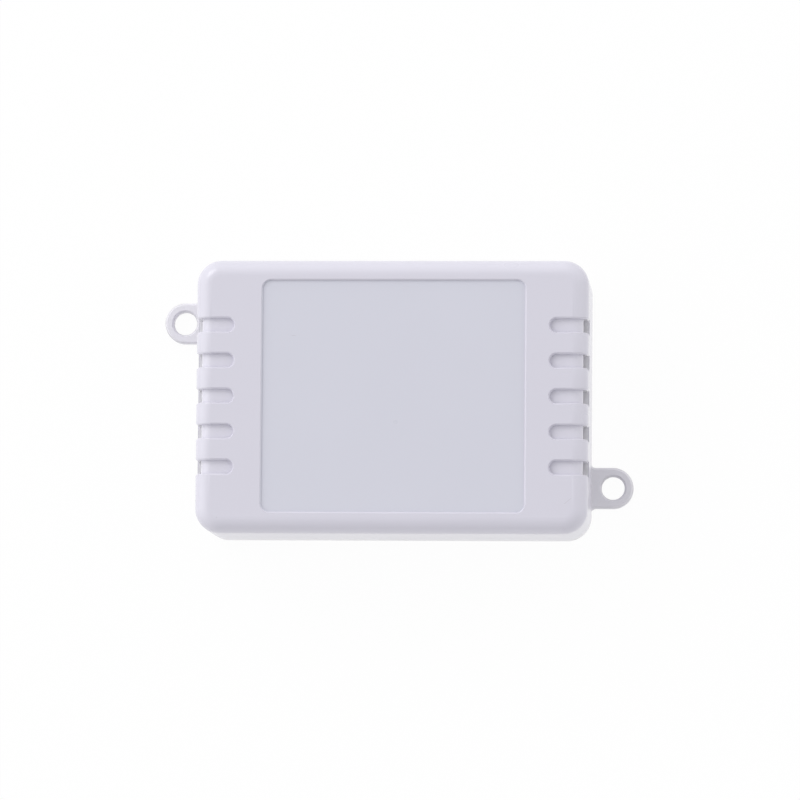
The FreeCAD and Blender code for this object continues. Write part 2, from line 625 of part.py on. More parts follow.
def make_circuit_board():
    body = new_body("circuit_board", z="board_bottom")
    outline = new_sketch(body, "board_outline")
    add_rectangle(outline, "board_length", "board_width")
    add_pad(body, outline, "board_thickness", "board_sheet")
    notches = new_sketch(body, "hook_notch_sketch", offset="board_thickness")
    for x, y in four_places("board_length / 2", "hook_rise"):
        add_rectangle(notches, "2 * (hook_inset + hook_gap)", "hook_width + 2 * hook_gap", x, y)
    add_pocket(body, notches, "board_thickness", "hook_notches")
    relief = new_sketch(body, "relief_sketch", offset="board_thickness")
    slot_x = "board_length / 2 - relief_reach - relief_width / 2"
    add_rectangle(relief, "relief_width", "relief_length", slot_x, "0")
    add_pocket(body, relief, "board_thickness", "relief_slot")
    arms = new_sketch(body, "relief_arm_sketch", offset="board_thickness")
    for way in ("1 * ", "-1 * "):
        add_rectangle(arms, "relief_arm + relief_width / 2", "relief_width",
                      slot_x + " + (relief_arm + relief_width / 2) / 2",
                      way + "(relief_length - relief_width) / 2")
    add_pocket(body, arms, "board_thickness", "relief_arms")
    pins = new_sketch(body, "header_hole_sketch", offset="board_thickness")
    add_rectangle(pins, "header_hole", "header_hole",
                  along_board("header_x") + " - header_pitch * (header_count - 1) / 2",
                  "board_top_edge - header_drop")
    first_pin = add_pocket(body, pins, "board_thickness", "header_hole")
    add_row(body, [first_pin], "X_Axis", "header_pitch", "header_count", "header_holes")
    tails = new_sketch(body, "tail_hole_sketch", offset="board_thickness")
    for way in ("1", "-1"):
        add_rectangle(tails, "contact_sheet + 2 * tail_play", "tail_width + 2 * tail_play",
                      "trough_length / 2 - contact_seat - contact_sheet / 2",
                      "holder_y + %s * cell_pitch / 2" % way)
    add_pocket(body, tails, "board_thickness", "tail_holes")


def make_battery_holder():
    body = new_body("battery_holder", y="holder_y", z="board_top")
    axis = "holder_floor + trough_radius"
    outline = new_sketch(body, "holder_outline")
    add_rectangle(outline, "holder_length", "holder_width")
    add_pad(body, outline, "holder_height", "holder_block")
    troughs = new_sketch(body, "trough_sketch", "YZ_Plane")
    walls = new_sketch(body, "trough_wall_sketch", "YZ_Plane")
    for way in ("1", "-1"):
        middle = way + " * cell_pitch / 2"
        add_circle(troughs, "2 * trough_radius", middle, axis)
        add_rectangle(walls, "2 * trough_radius", "holder_height", middle, axis + " + holder_height / 2")
    add_pocket(body, troughs, "trough_length", "troughs", both_ways=True)
    add_pocket(body, walls, "trough_length", "trough_walls", both_ways=True)
    window = new_sketch(body, "window_sketch", "XZ_Plane")
    slope = "(holder_height - window_sill) / 2"
    add_outline(window, (
        ("-1 * window_length / 2", "window_sill"),
        ("window_length / 2", "window_sill"),
        ("window_length / 2 + " + slope, "holder_height + holder_floor"),
        ("-1 * window_length / 2 - " + slope, "holder_height + holder_floor")))
    add_pocket(body, window, "2 * holder_width", "finger_windows", both_ways=True)
    slots = new_sketch(body, "tail_slot_sketch", offset="holder_height")
    for way in ("1", "-1"):
        add_rectangle(slots, "contact_sheet + contact_seat + tail_play", "tail_width + 2 * tail_play",
                      "trough_length / 2 - (contact_sheet + contact_seat + tail_play) / 2",
                      way + " * cell_pitch / 2")
    add_pocket(body, slots, "holder_height", "tail_slots")
    notch = new_sketch(body, "bridge_notch_sketch", offset="holder_height")
    add_rectangle(notch, "contact_room + tail_play", "cell_pitch",
                  "-1 * (trough_length - contact_room - tail_play) / 2", "0")
    add_pocket(body, notch, "holder_height - holder_floor - trough_radius + contact_height / 2 + tail_play",
               "bridge_notch")


def add_bow(body, y, name):
    """A bowed leaf that pushes the cell, standing on the face of its plate."""
    centre = "bow_radius - contact_sheet - bow_height"
    ring = new_sketch(body, name + "_sketch", "XZ_Plane", "-1 * (%s)" % y)
    add_circle(ring, "2 * bow_radius", centre, "0")
    add_circle(ring, "2 * (bow_radius - bow_sheet)", centre, "0")
    add_pad(body, ring, "bow_width", name + "_ring", both_ways=True)
    for half, edge in (("-1", "-1 * contact_sheet / 2"), ("1", "-1 * contact_sheet - bow_free_gap")):
        spare = new_sketch(body, name + "_spare_sketch", "XZ_Plane", "-1 * (%s)" % y)
        add_rectangle(spare, "4 * bow_radius", "2 * bow_radius",
                      edge + " + 2 * bow_radius", half + " * bow_radius")
        add_pocket(body, spare, "2 * bow_width", name + "_spare", both_ways=True)


def add_button(body, y, name):
    button = new_sketch(body, name + "_sketch", "YZ_Plane", "-1 * contact_sheet")
    add_circle(button, "button_diameter", y, "0")
    add_pad(body, button, "button_height", name, down=True)


def add_plate(body, width, y, name):
    plate = new_sketch(body, name + "_sketch", "YZ_Plane")
    add_rectangle(plate, width, "contact_height", y, "0")
    add_pad(body, plate, "contact_sheet", name, down=True)


def add_tail(body, name):
    tail = new_sketch(body, name + "_sketch", "YZ_Plane")
    add_rectangle(tail, "tail_width", "cell_axis - board_bottom + tail_proud", "0",
                  "-1 * (cell_axis - board_bottom + tail_proud) / 2")
    add_pad(body, tail, "contact_sheet", name, down=True)


def make_contacts():
    end = "trough_length / 2 - contact_seat"
    positive = new_body("positive_contact", end, "holder_y + cell_pitch / 2", "cell_axis")
    add_plate(positive, "contact_width", "0", "positive_plate")
    add_tail(positive, "positive_tail")
    add_button(positive, "0", "positive_button")
    negative = new_body("negative_contact", end, "holder_y - cell_pitch / 2", "cell_axis")
    add_bow(negative, "0", "negative_bow")
    add_plate(negative, "contact_width", "0", "negative_plate")
    add_tail(negative, "negative_tail")
    bridge = new_body("bridge_contact", "-1 * (%s)" % end, "holder_y", "cell_axis", turned=True)
    add_bow(bridge, "-1 * cell_pitch / 2", "bridge_bow")
    add_plate(bridge, "contact_width + cell_pitch", "0", "bridge_plate")
    add_button(bridge, "cell_pitch / 2", "bridge_button")


def make_cell(label, y, turned):
    """A cell along X from its flat end, its profile turned about its axis."""
    start = "cell_back" if turned else "-1 * cell_back"
    body = new_body(label, start, y, "cell_axis", turned)
    profile = new_sketch(body, label + "_profile", "XZ_Plane")
    can_end = "cell_length - terminal_height"
    add_outline(profile, (
        ("0", "0"),
        ("0", "cell_diameter / 2"),
        (can_end, "cell_diameter / 2"),
        (can_end, "terminal_diameter / 2"),
        ("cell_length", "terminal_diameter / 2"),
        ("cell_length", "0")))
    add_turned(body, profile, label + "_turned", "H_Axis")


# Radio module.

def make_radio():
    middle = along_board("radio_x")
    board = new_body("radio_board", middle, "radio_y", "board_top")
    outline = new_sketch(board, "radio_outline")
    add_rectangle(outline, "radio_length", "radio_width")
    add_pad(board, outline, "radio_thickness", "radio_sheet")
    for way, name in (("1", "upper"), ("-1", "lower")):
        edge = new_sketch(board, name + "_castellation_sketch", offset="radio_thickness")
        add_rectangle(edge, "castellation_width", "castellation_width",
                      "can_shift - castellation_pitch * (castellation_count - 1) / 2",
                      way + " * radio_width / 2")
        notch = add_pocket(board, edge, "radio_thickness", name + "_castellation")
        add_row(board, [notch], "X_Axis", "castellation_pitch", "castellation_count",
                name + "_castellations")
    can = new_body("shield_can", middle + " + can_shift", "radio_y", "board_top + radio_thickness")
    can_sketch = new_sketch(can, "can_outline")
    add_rectangle(can_sketch, "can_length", "can_width")
    add_pad(can, can_sketch, "can_height", "can_block")
    add_rounding(can, edges_where(can, at_height("can_height")), "can_bevel", "can_top_bevel", "Chamfer")
    antenna = new_body("chip_antenna", middle + " - antenna_shift", "radio_y",
                       "board_top + radio_thickness")
    antenna_sketch = new_sketch(antenna, "antenna_outline")
    add_rectangle(antenna_sketch, "antenna_width", "antenna_length")
    add_pad(antenna, antenna_sketch, "antenna_height", "antenna_block")


# Chips with leads along their sides.

def add_leads(body, name, along, offset, pitch, count):
    """A row of leads on one side. along is the axis of the row, offset the middle of the leads."""
    start = "-1 * %s * (%s - 1) / 2" % (pitch, count)
    sketch = new_sketch(body, name + "_sketch")
    if along == "X_Axis":
        add_rectangle(sketch, "lead_width", "2 * lead_foot", start, offset)
    else:
        add_rectangle(sketch, "2 * lead_foot", "lead_width", offset, start)
    lead = add_pad(body, sketch, "lead_sheet", name)
    add_row(body, [lead], along, pitch, count, name + "_row")


def add_chip_body(body, length, width, height, name):
    """A moulded package just above the board on its leads, with a bevelled top."""
    sketch = new_sketch(body, name + "_sketch", offset="lead_sheet / 2")
    add_rectangle(sketch, length, width)
    add_pad(body, sketch, "%s - lead_sheet / 2" % height, name)
    add_rounding(body, edges_where(body, at_height(height)), "lead_sheet", name + "_bevel", "Chamfer")


def make_microcontroller():
    body = new_body("microcontroller", along_board("processor_x"), "board_top_edge - processor_drop",
                    "board_top")
    add_chip_body(body, "processor_size", "processor_size", "processor_height", "processor_block")
    for axis, way in (("X_Axis", "1"), ("X_Axis", "-1"), ("Y_Axis", "1"), ("Y_Axis", "-1")):
        name = "processor_lead_%s%s" % (axis[0], "a" if way == "1" else "b")
        add_leads(body, name, axis, way + " * processor_size / 2", "lead_pitch", "lead_count")


def make_memory_chip():
    body = new_body("memory_chip", along_board("memory_x"), "board_top_edge - memory_drop", "board_top")
    add_chip_body(body, "memory_length", "memory_width", "memory_height", "memory_block")
    for way in ("1", "-1"):
        name = "memory_lead_" + ("a" if way == "1" else "b")
        add_leads(body, name, "X_Axis", way + " * memory_width / 2", "memory_lead_pitch",
                  "memory_lead_count")


def make_regulator():
    body = new_body("regulator", along_board("inductor_x"), "board_top_edge - regulator_drop",
                    "board_top")
    add_chip_body(body, "regulator_length", "regulator_width", "regulator_height", "regulator_block")
    add_leads(body, "regulator_lead", "X_Axis", "-1 * regulator_width / 2", "regulator_length / 3", "3")
    tab = new_sketch(body, "regulator_tab_sketch")
    add_rectangle(tab, "regulator_length / 2", "2 * lead_foot", "0", "regulator_width / 2")
    add_pad(body, tab, "lead_sheet", "regulator_tab")


def make_diode():
    body = new_body("diode", along_board("diode_x"), "holder_top_edge + diode_rise", "board_top")
    add_chip_body(body, "diode_length", "diode_width", "diode_height", "diode_block")
    tabs = new_sketch(body, "diode_tab_sketch")
    add_rectangle(tabs, "diode_length + lead_foot", "diode_width / 2")
    add_pad(body, tabs, "lead_sheet", "diode_tabs")


def make_inductor():
    body = new_body("inductor", along_board("inductor_x"), "holder_top_edge + inductor_rise",
                    "board_top")
    sketch = new_sketch(body, "inductor_outline")
    add_rectangle(sketch, "inductor_size", "inductor_size")
    add_pad(body, sketch, "inductor_height", "inductor_block")
    groove = new_sketch(body, "inductor_groove_sketch", offset="inductor_height")
    add_circle(groove, "inductor_groove")
    add_circle(groove, "inductor_core")
    add_pocket(body, groove, "lead_sheet", "inductor_groove")


def make_crystal():
    body = new_body("crystal", along_board("crystal_x"), "holder_top_edge + crystal_rise", "board_top")
    flange = new_sketch(body, "crystal_flange_sketch")
    add_rectangle(flange, "crystal_length", "crystal_width", radius="crystal_corner")
    add_pad(body, flange, "crystal_flange", "crystal_foot")
    can = new_sketch(body, "crystal_can_sketch")
    add_rectangle(can, "crystal_length - 2 * crystal_flange", "crystal_width - 2 * crystal_flange",
                  radius="crystal_corner - crystal_flange")
    add_pad(body, can, "crystal_height", "crystal_can")
    add_rounding(body, edges_where(body, at_height("crystal_height")), "crystal_flange", "crystal_top",
                 "Chamfer")


def make_bulk_capacitor():
    place = (along_board("capacitor_x"), "holder_top_edge + capacitor_rise")
    base = new_body("capacitor_base", *place, "board_top")
    outline = new_sketch(base, "capacitor_base_outline")
    half = "capacitor_base / 2"
    cut = "capacitor_base_cut"
    add_outline(outline, (
        ("-1 * " + half, "-1 * " + half), (half + " - " + cut, "-1 * " + half),
        (half, cut + " - " + half), (half, half + " - " + cut),
        (half + " - " + cut, half), ("-1 * " + half, half)))
    add_pad(base, outline, "capacitor_base_height", "capacitor_base_block")
    can = new_body("capacitor_can", *place, "board_top + capacitor_base_height")
    profile = new_sketch(can, "capacitor_profile", "XZ_Plane")
    add_outline(profile, (
        ("0", "0"), ("capacitor_diameter / 2", "0"),
        ("capacitor_diameter / 2", "capacitor_height - capacitor_bevel"),
        ("capacitor_diameter / 2 - capacitor_bevel", "capacitor_height"), ("0", "capacitor_height")))
    add_turned(can, profile, "capacitor_turned")


# Pairing switch: housing, snap spring, plunger and the metal plate that keeps the plunger in.

def make_switch():
    place = (along_board("switch_x"), "holder_top_edge + switch_rise")
    housing = new_body("switch_housing", *place, "board_top")
    outline = new_sketch(housing, "switch_outline")
    add_rectangle(outline, "switch_size", "switch_size")
    add_pad(housing, outline, "switch_height", "switch_block")
    well = new_sketch(housing, "switch_well_sketch", offset="switch_height")
    add_circle(well, "switch_well")
    add_pocket(housing, well, "switch_height - switch_well_floor", "switch_well_cut")
    plate = new_body("switch_plate", *place, "board_top + switch_height")
    plate_sketch = new_sketch(plate, "switch_plate_sketch")
    add_rectangle(plate_sketch, "switch_size", "switch_size")
    add_circle(plate_sketch, "plunger_diameter + 2 * plunger_play")
    add_pad(plate, plate_sketch, "plate_sheet", "switch_plate_sheet")
    plunger = new_body("switch_plunger", *place, "board_top + plunger_base")
    profile = new_sketch(plunger, "plunger_profile", "XZ_Plane")
    top = "plunger_collar_height + plunger_seat + plate_sheet + plunger_proud"
    add_outline(profile, (
        ("0", "0"), ("plunger_collar / 2", "0"), ("plunger_collar / 2", "plunger_collar_height"),
        ("plunger_diameter / 2", "plunger_collar_height"), ("plunger_diameter / 2", top), ("0", top)))
    add_turned(plunger, profile, "plunger_turned")
    spring = new_body("switch_spring", *place, "board_top + switch_well_floor")
    leaf = new_sketch(spring, "spring_profile", "XZ_Plane")
    foot = "(switch_well / 2 - 2 * plunger_play)"
    crown = "(spring_crown / 2)"
    add_outline(leaf, (
        ("-1 * " + foot, "0"), ("-1 * " + crown, "spring_rise"), (crown, "spring_rise"), (foot, "0"),
        (foot, "spring_sheet"), (crown, "spring_rise + spring_sheet"),
        ("-1 * " + crown, "spring_rise + spring_sheet"), ("-1 * " + foot, "spring_sheet")))
    add_pad(spring, leaf, "spring_width", "spring_leaf", both_ways=True)


# Sensor chip under its filter cap, beside the vents.

def make_sensor():
    place = ("board_length / 2 - sensor_edge_gap", "0")
    chip = new_body("sensor_chip", *place, "board_top")
    chip_sketch = new_sketch(chip, "sensor_outline")
    add_rectangle(chip_sketch, "sensor_size", "sensor_size")
    add_pad(chip, chip_sketch, "sensor_height", "sensor_block")
    opening = new_sketch(chip, "sensor_opening_sketch", offset="sensor_height")
    add_circle(opening, "sensor_opening")
    add_pocket(chip, opening, "sensor_height / 2", "sensor_opening_cut")
    cap = new_body("filter_cap", *place, "board_top")
    cap_sketch = new_sketch(cap, "cap_outline")
    add_rectangle(cap_sketch, "cap_size", "cap_size")
    add_pad(cap, cap_sketch, "cap_height", "cap_block")
    room = new_sketch(cap, "cap_room_sketch")
    add_rectangle(room, "cap_size - 2 * cap_wall", "cap_size - 2 * cap_wall")
    add_pocket(cap, room, "cap_height - cap_roof", "cap_room", up=True)
    seat = new_sketch(cap, "membrane_seat_sketch", offset="cap_height")
    add_rectangle(seat, "membrane_size + 2 * membrane_play", "membrane_size + 2 * membrane_play")
    add_pocket(cap, seat, "membrane_sheet", "membrane_seat")
    hole = new_sketch(cap, "cap_opening_sketch", offset="cap_height")
    add_circle(hole, "cap_opening")
    add_pocket(cap, hole, "cap_height", "cap_opening_cut")
    membrane = doc.addObject("Part::Box", "filter_membrane")
    bind(membrane, "Length", "membrane_size")
    bind(membrane, "Width", "membrane_size")
    bind(membrane, "Height", "membrane_sheet")
    bind(membrane, "Placement.Base.x", place[0] + " - membrane_size / 2")
    bind(membrane, "Placement.Base.y", "-1 * membrane_size / 2")
    bind(membrane, "Placement.Base.z", "board_top + cap_height - membrane_sheet")
    named_sub_part(membrane, "filter_membrane")


# Header for programming, status lamp and the small passives.

def make_header():
    middle = (along_board("header_x"), "board_top_edge - header_drop")
    first_pin = "-1 * header_pitch * (header_count - 1) / 2"
    housing = new_body("header_housing", *middle, "board_top")
    outline = new_sketch(housing, "header_outline")
    add_rectangle(outline, "header_pitch * header_count", "header_pitch")
    add_pad(housing, outline, "header_height", "header_block")
    hole = new_sketch(housing, "header_pin_hole_sketch", offset="header_height")
    add_rectangle(hole, "header_pin + 2 * header_pin_play", "header_pin + 2 * header_pin_play",
                  first_pin)
    first_hole = add_pocket(housing, hole, "header_height", "header_pin_hole")
    add_row(housing, [first_hole], "X_Axis", "header_pitch", "header_count", "header_pin_holes")
    pins = []
    for index in range(int(number("header_count"))):
        pin = doc.addObject("Part::Box", "header_pin_%d" % (index + 1))
        bind(pin, "Length", "header_pin")
        bind(pin, "Width", "header_pin")
        bind(pin, "Height", "header_pin_rise + board_thickness + tail_proud")
        bind(pin, "Placement.Base.x",
             middle[0] + " + header_pitch * (%d - (header_count - 1) / 2) - header_pin / 2" % index)
        bind(pin, "Placement.Base.y", middle[1] + " - header_pin / 2")
        bind(pin, "Placement.Base.z", "board_bottom - tail_proud")
        pins.append(pin)
    group = doc.addObject("Part::Compound", "header_pins")
    group.Links = pins
    named_sub_part(group, "header_pins")


def make_status_led():
    body = new_body("status_led", along_board("switch_x"), "board_top_edge - led_drop", "board_top")
    base = new_sketch(body, "led_base_sketch")
    add_rectangle(base, "led_length", "led_width")
    add_pad(body, base, "led_base_height", "led_base")
    lens = new_sketch(body, "led_lens_sketch")
    add_rectangle(lens, "led_lens_length", "led_width")
    add_pad(body, lens, "led_base_height + led_lens_height", "led_lens")


def make_chips(label, height, places):
    """A group of chip resistors or capacitors. A place is x, y and whether the chip stands along Y."""
    chips = []
    for index, (x, y, upright) in enumerate(places, start=1):
        chip = doc.addObject("Part::Box", "%s_%d" % (label, index))
        sizes = ("chip_width", "chip_length") if upright else ("chip_length", "chip_width")
        bind(chip, "Length", sizes[0])
        bind(chip, "Width", sizes[1])
        bind(chip, "Height", height)
        bind(chip, "Placement.Base.x", "%s - %s / 2" % (x, sizes[0]))
        bind(chip, "Placement.Base.y", "%s - %s / 2" % (y, sizes[1]))
        bind(chip, "Placement.Base.z", "board_top")
        chips.append(chip)
    group = doc.addObject("Part::Compound", label)
    group.Links = chips
    named_sub_part(group, label)


def make_passives():
    beside_processor = along_board("processor_x + processor_size / 2 + lead_foot + chip_width")
    left_of_processor = along_board("processor_x - processor_size / 2 - lead_foot - chip_width")
    by_sensor = "board_length / 2 - sensor_edge_gap"
    by_memory = along_board("memory_x")
    by_lamp = along_board("switch_x")
    make_chips("chip_capacitors", "capacitor_chip_height", (
        (beside_processor, "board_top_edge - processor_drop + chip_length", True),
        (beside_processor, "board_top_edge - processor_drop - chip_length", True),
        (left_of_processor, "board_top_edge - processor_drop - chip_length", True),
        (by_memory, "board_top_edge - memory_drop + memory_width / 2 + lead_foot + chip_width", False),
        (along_board("capacitor_x"), "board_top_edge - regulator_drop + chip_width", False),
        (along_board("inductor_x"),
         "board_top_edge - regulator_drop - regulator_width / 2 - lead_foot - chip_width", False)))
    make_chips("chip_resistors", "resistor_height", (
        (by_memory, "board_top_edge - memory_drop - memory_width / 2 - lead_foot - chip_width", False),
        (by_lamp, "board_top_edge - led_drop - led_width / 2 - chip_width", False),
        (by_lamp + " + led_length + chip_length", "board_top_edge - led_drop", False),
        (by_sensor, "relief_length / 2 + chip_length", False),
        (by_sensor, "-1 * relief_length / 2 - chip_length", False),
        (by_sensor, "-1 * relief_length / 2 - 2 * chip_length", False)))


def write_parts():
    """Writes each sub-part's STEP file, once every object has computed well."""
    doc.recompute()
    for item in doc.Objects:
        if "Invalid" in item.State or "Error" in item.State:
            raise RuntimeError("%s is %s" % (item.Label, item.State))
    for item in sub_parts:
        if item.Shape.isNull() or not item.Shape.isValid():
            raise RuntimeError("%s has no valid shape" % item.Label)
    os.makedirs(OUTPUT_FOLDER, exist_ok=True)
    for item in sub_parts:
        item.Shape.exportStep(os.path.join(OUTPUT_FOLDER, item.Label + ".step"))


fill_sheet()
make_back_base()
make_front_cover()
make_circuit_board()
make_battery_holder()
make_contacts()
make_cell("cell_1", "holder_y + cell_pitch / 2", turned=False)
make_cell("cell_2", "holder_y - cell_pitch / 2", turned=True)
make_radio()
make_microcontroller()
make_memory_chip()
make_regulator()
make_diode()
make_inductor()
make_crystal()
make_bulk_capacitor()
make_switch()
make_sensor()
make_header()
make_status_led()
make_passives()
write_parts()
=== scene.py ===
import json
import math
import random

import bmesh
import bpy
from mathutils import Matrix, Vector


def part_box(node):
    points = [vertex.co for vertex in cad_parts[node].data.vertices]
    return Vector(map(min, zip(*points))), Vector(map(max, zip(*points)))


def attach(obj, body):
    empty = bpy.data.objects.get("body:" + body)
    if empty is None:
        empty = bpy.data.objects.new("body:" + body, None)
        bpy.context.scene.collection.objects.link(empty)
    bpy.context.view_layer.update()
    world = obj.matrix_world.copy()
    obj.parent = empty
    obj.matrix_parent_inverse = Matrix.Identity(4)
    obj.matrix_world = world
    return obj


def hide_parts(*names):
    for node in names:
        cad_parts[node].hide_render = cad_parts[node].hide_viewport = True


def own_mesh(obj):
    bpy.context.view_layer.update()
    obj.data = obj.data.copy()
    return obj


# Looks of a wall mounted temperature and humidity sensor, built around its CAD frame. Metres, +Z out of
# the front, the back face on z = 0.

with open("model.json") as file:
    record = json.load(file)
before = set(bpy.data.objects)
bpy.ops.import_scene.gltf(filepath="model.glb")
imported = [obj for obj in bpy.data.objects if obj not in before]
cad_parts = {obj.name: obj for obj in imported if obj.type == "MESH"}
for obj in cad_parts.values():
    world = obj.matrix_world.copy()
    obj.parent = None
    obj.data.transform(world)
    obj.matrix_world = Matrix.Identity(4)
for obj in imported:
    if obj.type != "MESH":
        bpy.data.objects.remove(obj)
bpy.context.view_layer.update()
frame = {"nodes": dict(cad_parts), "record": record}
MM = 0.001


def middle_of(node):
    low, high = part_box(node)
    return (low + high) / 2


def half_size_of(node):
    low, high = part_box(node)
    return (high - low) / 2


# Camera: fitted to the photograph's outline, ears and recess.
CAMERA_AZIMUTH = math.radians(3.82)
CAMERA_ELEVATION = math.radians(5.05)
CAMERA_ROLL = math.radians(0.45)
CAMERA_DISTANCE = 1.2
CAMERA_TARGET = Vector((0, 0, 20 * MM))
TARGET_RIGHT = 1.49 * MM
TARGET_UP = -0.41 * MM
LENS = 264.9
SENSOR_WIDTH = 36
CAMERA_CLIP = 0.01, 20

# Light: a soft key lamp, and a sky of one even level with wide panels of light or shade in it. Each panel
# has its direction, the power of its fall off and its level, and the levels were fitted to the photograph's
# tones.
KEY_DIRECTION = Vector((-0.55, 0.60, 0.60)).normalized()
KEY_ENERGY = 1.8
KEY_SIZE = 0.5
KEY_DISTANCE = 1.0
SKY_EVEN = 0.70
SKY_PANELS = (
    ((-1, 0, 0.25), 3, 0.82),
    ((-0.8, 0, 0.7), 8, 0.41),
    ((1, 0, 0.25), 3, 0.50),
    ((0, 1, 0.25), 3, 0.52),
    ((0, 0.8, 0.7), 8, 0.15),
    ((0, -1, 0.25), 3, -0.18),
    ((0, 0, 1), 3, -0.22))
BACKDROP_WHITE = 0.96
FLOOR_SIZE = 1.5
FLOOR_DROP = 0.02 * MM                      # below the back face, so that the two don't share a plane
FLOOR_TONES = (0.90, 0.90, 0.90, 1), (0.92, 0.92, 0.92, 1)

# Shading of edges. Edges of a CAD node stay sharp beyond SHARP_ANGLE, and those of a new piece beyond
# SMOOTH_TURN.
SHARP_ANGLE = math.radians(60)
SMOOTH_TURN = math.radians(40)
CELL_SMOOTH_TURN = math.radians(50)
FLAT_ANGLE = math.radians(0.5)
WELD_DISTANCE = 0.001 * MM
ROUNDING_SEGMENTS = 2
MOST_ROUNDING = 0.45                        # of a block's thinnest side

# Colours, linear.
COVER_COLOUR = (0.653, 0.639, 0.722, 1)
RECESS_COLOUR = (0.626, 0.629, 0.710, 1)
# The next two are painted light: paler colours that lift the shade in the vents and on the ledges below them.
VENT_PAINTED_LIGHT = (0.688, 0.674, 0.755, 1)
LEDGE_PAINTED_LIGHT = (0.88, 0.87, 0.92, 1)
MARK_COLOUR = (0.44, 0.42, 0.46, 1)
# Partly painted light: the case colour, painted paler for the base than for the cover, so that the base's ears come
# out brighter.
BASE_PAINTED_PALER = (0.745, 0.733, 0.785, 1)
BLACK_PLASTIC = (0.022, 0.022, 0.024, 1)
SIGN_COLOUR = (0.060, 0.060, 0.062, 1)
PLUNGER_CREAM = (0.60, 0.57, 0.48, 1)
CAP_CREAM = (0.62, 0.60, 0.52, 1)
RESIN = (0.018, 0.018, 0.019, 1)
CATHODE_GREY = (0.35, 0.35, 0.34, 1)
FERRITE_GREY = (0.045, 0.045, 0.046, 1)
ANTENNA_WHITE = (0.70, 0.70, 0.64, 1)
CERAMIC_TAN = (0.28, 0.18, 0.10, 1)
CERAMIC_BLACK = (0.018, 0.018, 0.020, 1)
LAMP_WHITE = (0.78, 0.80, 0.74, 1)
LAMP_YELLOW = (0.72, 0.60, 0.10, 1)
FILM_WHITE = (0.84, 0.84, 0.82, 1)
# Painted shade: the grey at the middle of the membrane's pores.
PORE_PAINTED_SHADE = (0.62, 0.62, 0.60, 1)
TIN = (0.60, 0.60, 0.58, 1)
SOLDER_TIN = (0.63, 0.63, 0.62, 1)
SPRING_STEEL = (0.62, 0.60, 0.55, 1)
CELL_STEEL = (0.55, 0.54, 0.52, 1)
CAN_ALUMINIUM = (0.70, 0.71, 0.72, 1)
CAN_SECTOR = (0.02, 0.02, 0.025, 1)
PIN_BRASS = (0.80, 0.56, 0.20, 1)
GOLD_PLATE = (0.83, 0.60, 0.25, 1)
# Painted shade: the black of the small holes in the shield can's lid.
HOLE_PAINTED_SHADE = (0.01, 0.01, 0.01, 1)
SLEEVE_DARK = (0.015, 0.085, 0.095, 1)
SLEEVE_PALE = (0.60, 0.60, 0.55, 1)
GREEN_MASK = (0.010, 0.085, 0.035, 1)
GREEN_OVER_COPPER = (0.022, 0.150, 0.060, 1)
BLUE_MASK = (0.010, 0.030, 0.110, 1)
BOARD_CORE = (0.30, 0.28, 0.12, 1)
RADIO_CORE = (0.35, 0.33, 0.18, 1)
GLASS_LAYER = (0.42, 0.38, 0.20, 1)
PRINT_WHITE = (0.72, 0.73, 0.70, 1)

# The bare label recess of the cover.
RECESS_MIDDLE = (0, 0, 24.5 * MM)
RECESS_HALF = (27.0 * MM, 23.6 * MM, 0.4 * MM)

# The vents, five a side: their floors and flanks, and the ledge that closes each from below, which are painted
# paler as painted light on their shade.
VENT_PITCH = 7.25 * MM
VENT_HALF = 1.45 * MM
VENT_ROWS_REACH = 16.2 * MM
VENT_INBOARD = 32.1 * MM
VENT_FOOT = 17.7 * MM
VENT_TOP = 24.65 * MM
LEDGE_MIDDLE = Vector((39.3, 0, 18.8)) * MM
LEDGE_HALF = Vector((0.55, 18, 3.1)) * MM

# Finishes. Scales of noise are per metre, and rates of waves are radians per metre.
CLOUD_SCALE = 60.0
CLOUD_GLOSS = 0.12
GRAIN_HEIGHT = 0.02 * MM
ROLLING_STRETCH = (0.06, 1.0, 1.0)
ROLLING_SCALE = 9000.0
ROLLING_HEIGHT = 0.01 * MM
BLOOM_SCALE = 700.0
BLOOM_RANGE = 0.45, 0.75
BLOOM_ROUGHNESS = 0.6
WEAVE_RATE = 9000.0
WEAVE_HEIGHT = 0.004 * MM
LAYER_RATE = 40000.0
MASK_THICKNESS = 0.03 * MM
PORE_SCALE = 9000.0
PORE_HEIGHT = 0.03 * MM
DIMPLE_INSET = 0.7 * MM
DIMPLE_RADIUS = 0.25 * MM
DIMPLE_RIM = 0.06 * MM
DIMPLE_DEPTH = 0.08 * MM
CATHODE_PLACE = 1.35 * MM                   # from the middle of the diode
CATHODE_HALF = 0.22 * MM
LAMP_END = 0.25 * MM
LAMP_RADIUS = 0.30 * MM
LAMP_RIM = 0.12 * MM
ANTENNA_END = 0.9 * MM
SHIELD_PITCH = 1.6 * MM
SHIELD_HOLE = 0.28 * MM
SHIELD_MARGIN = 1.2 * MM
SHIELD_LID = 0.05 * MM
SECTOR_EDGE = -0.45                         # of the capacitor's radius
SECTOR_DEPTH = 0.1 * MM

# Marks on the cover: two specks, each with its place and how fast it fades along x and y, and a scratch.
SPECKS = (((-35.3 * MM, -24.85 * MM, 0), (1, 1, 0)), ((-20.0 * MM, 12.35 * MM, 0), (0.25, 1.6, 0)))
SPECK_RADIUS = 0.07 * MM
SPECK_RIM = 0.10 * MM
SCRATCH_MIDDLE = (36.0 * MM, -21.3 * MM, 0)
SCRATCH_ALONG = (0.77, 0.64, 0)
SCRATCH_ACROSS = (-0.64, 0.77, 0)
SCRATCH_HALF_LENGTH = 0.9 * MM
SCRATCH_HALF_WIDTH = 0.06 * MM
MARK_STRENGTH = 0.35

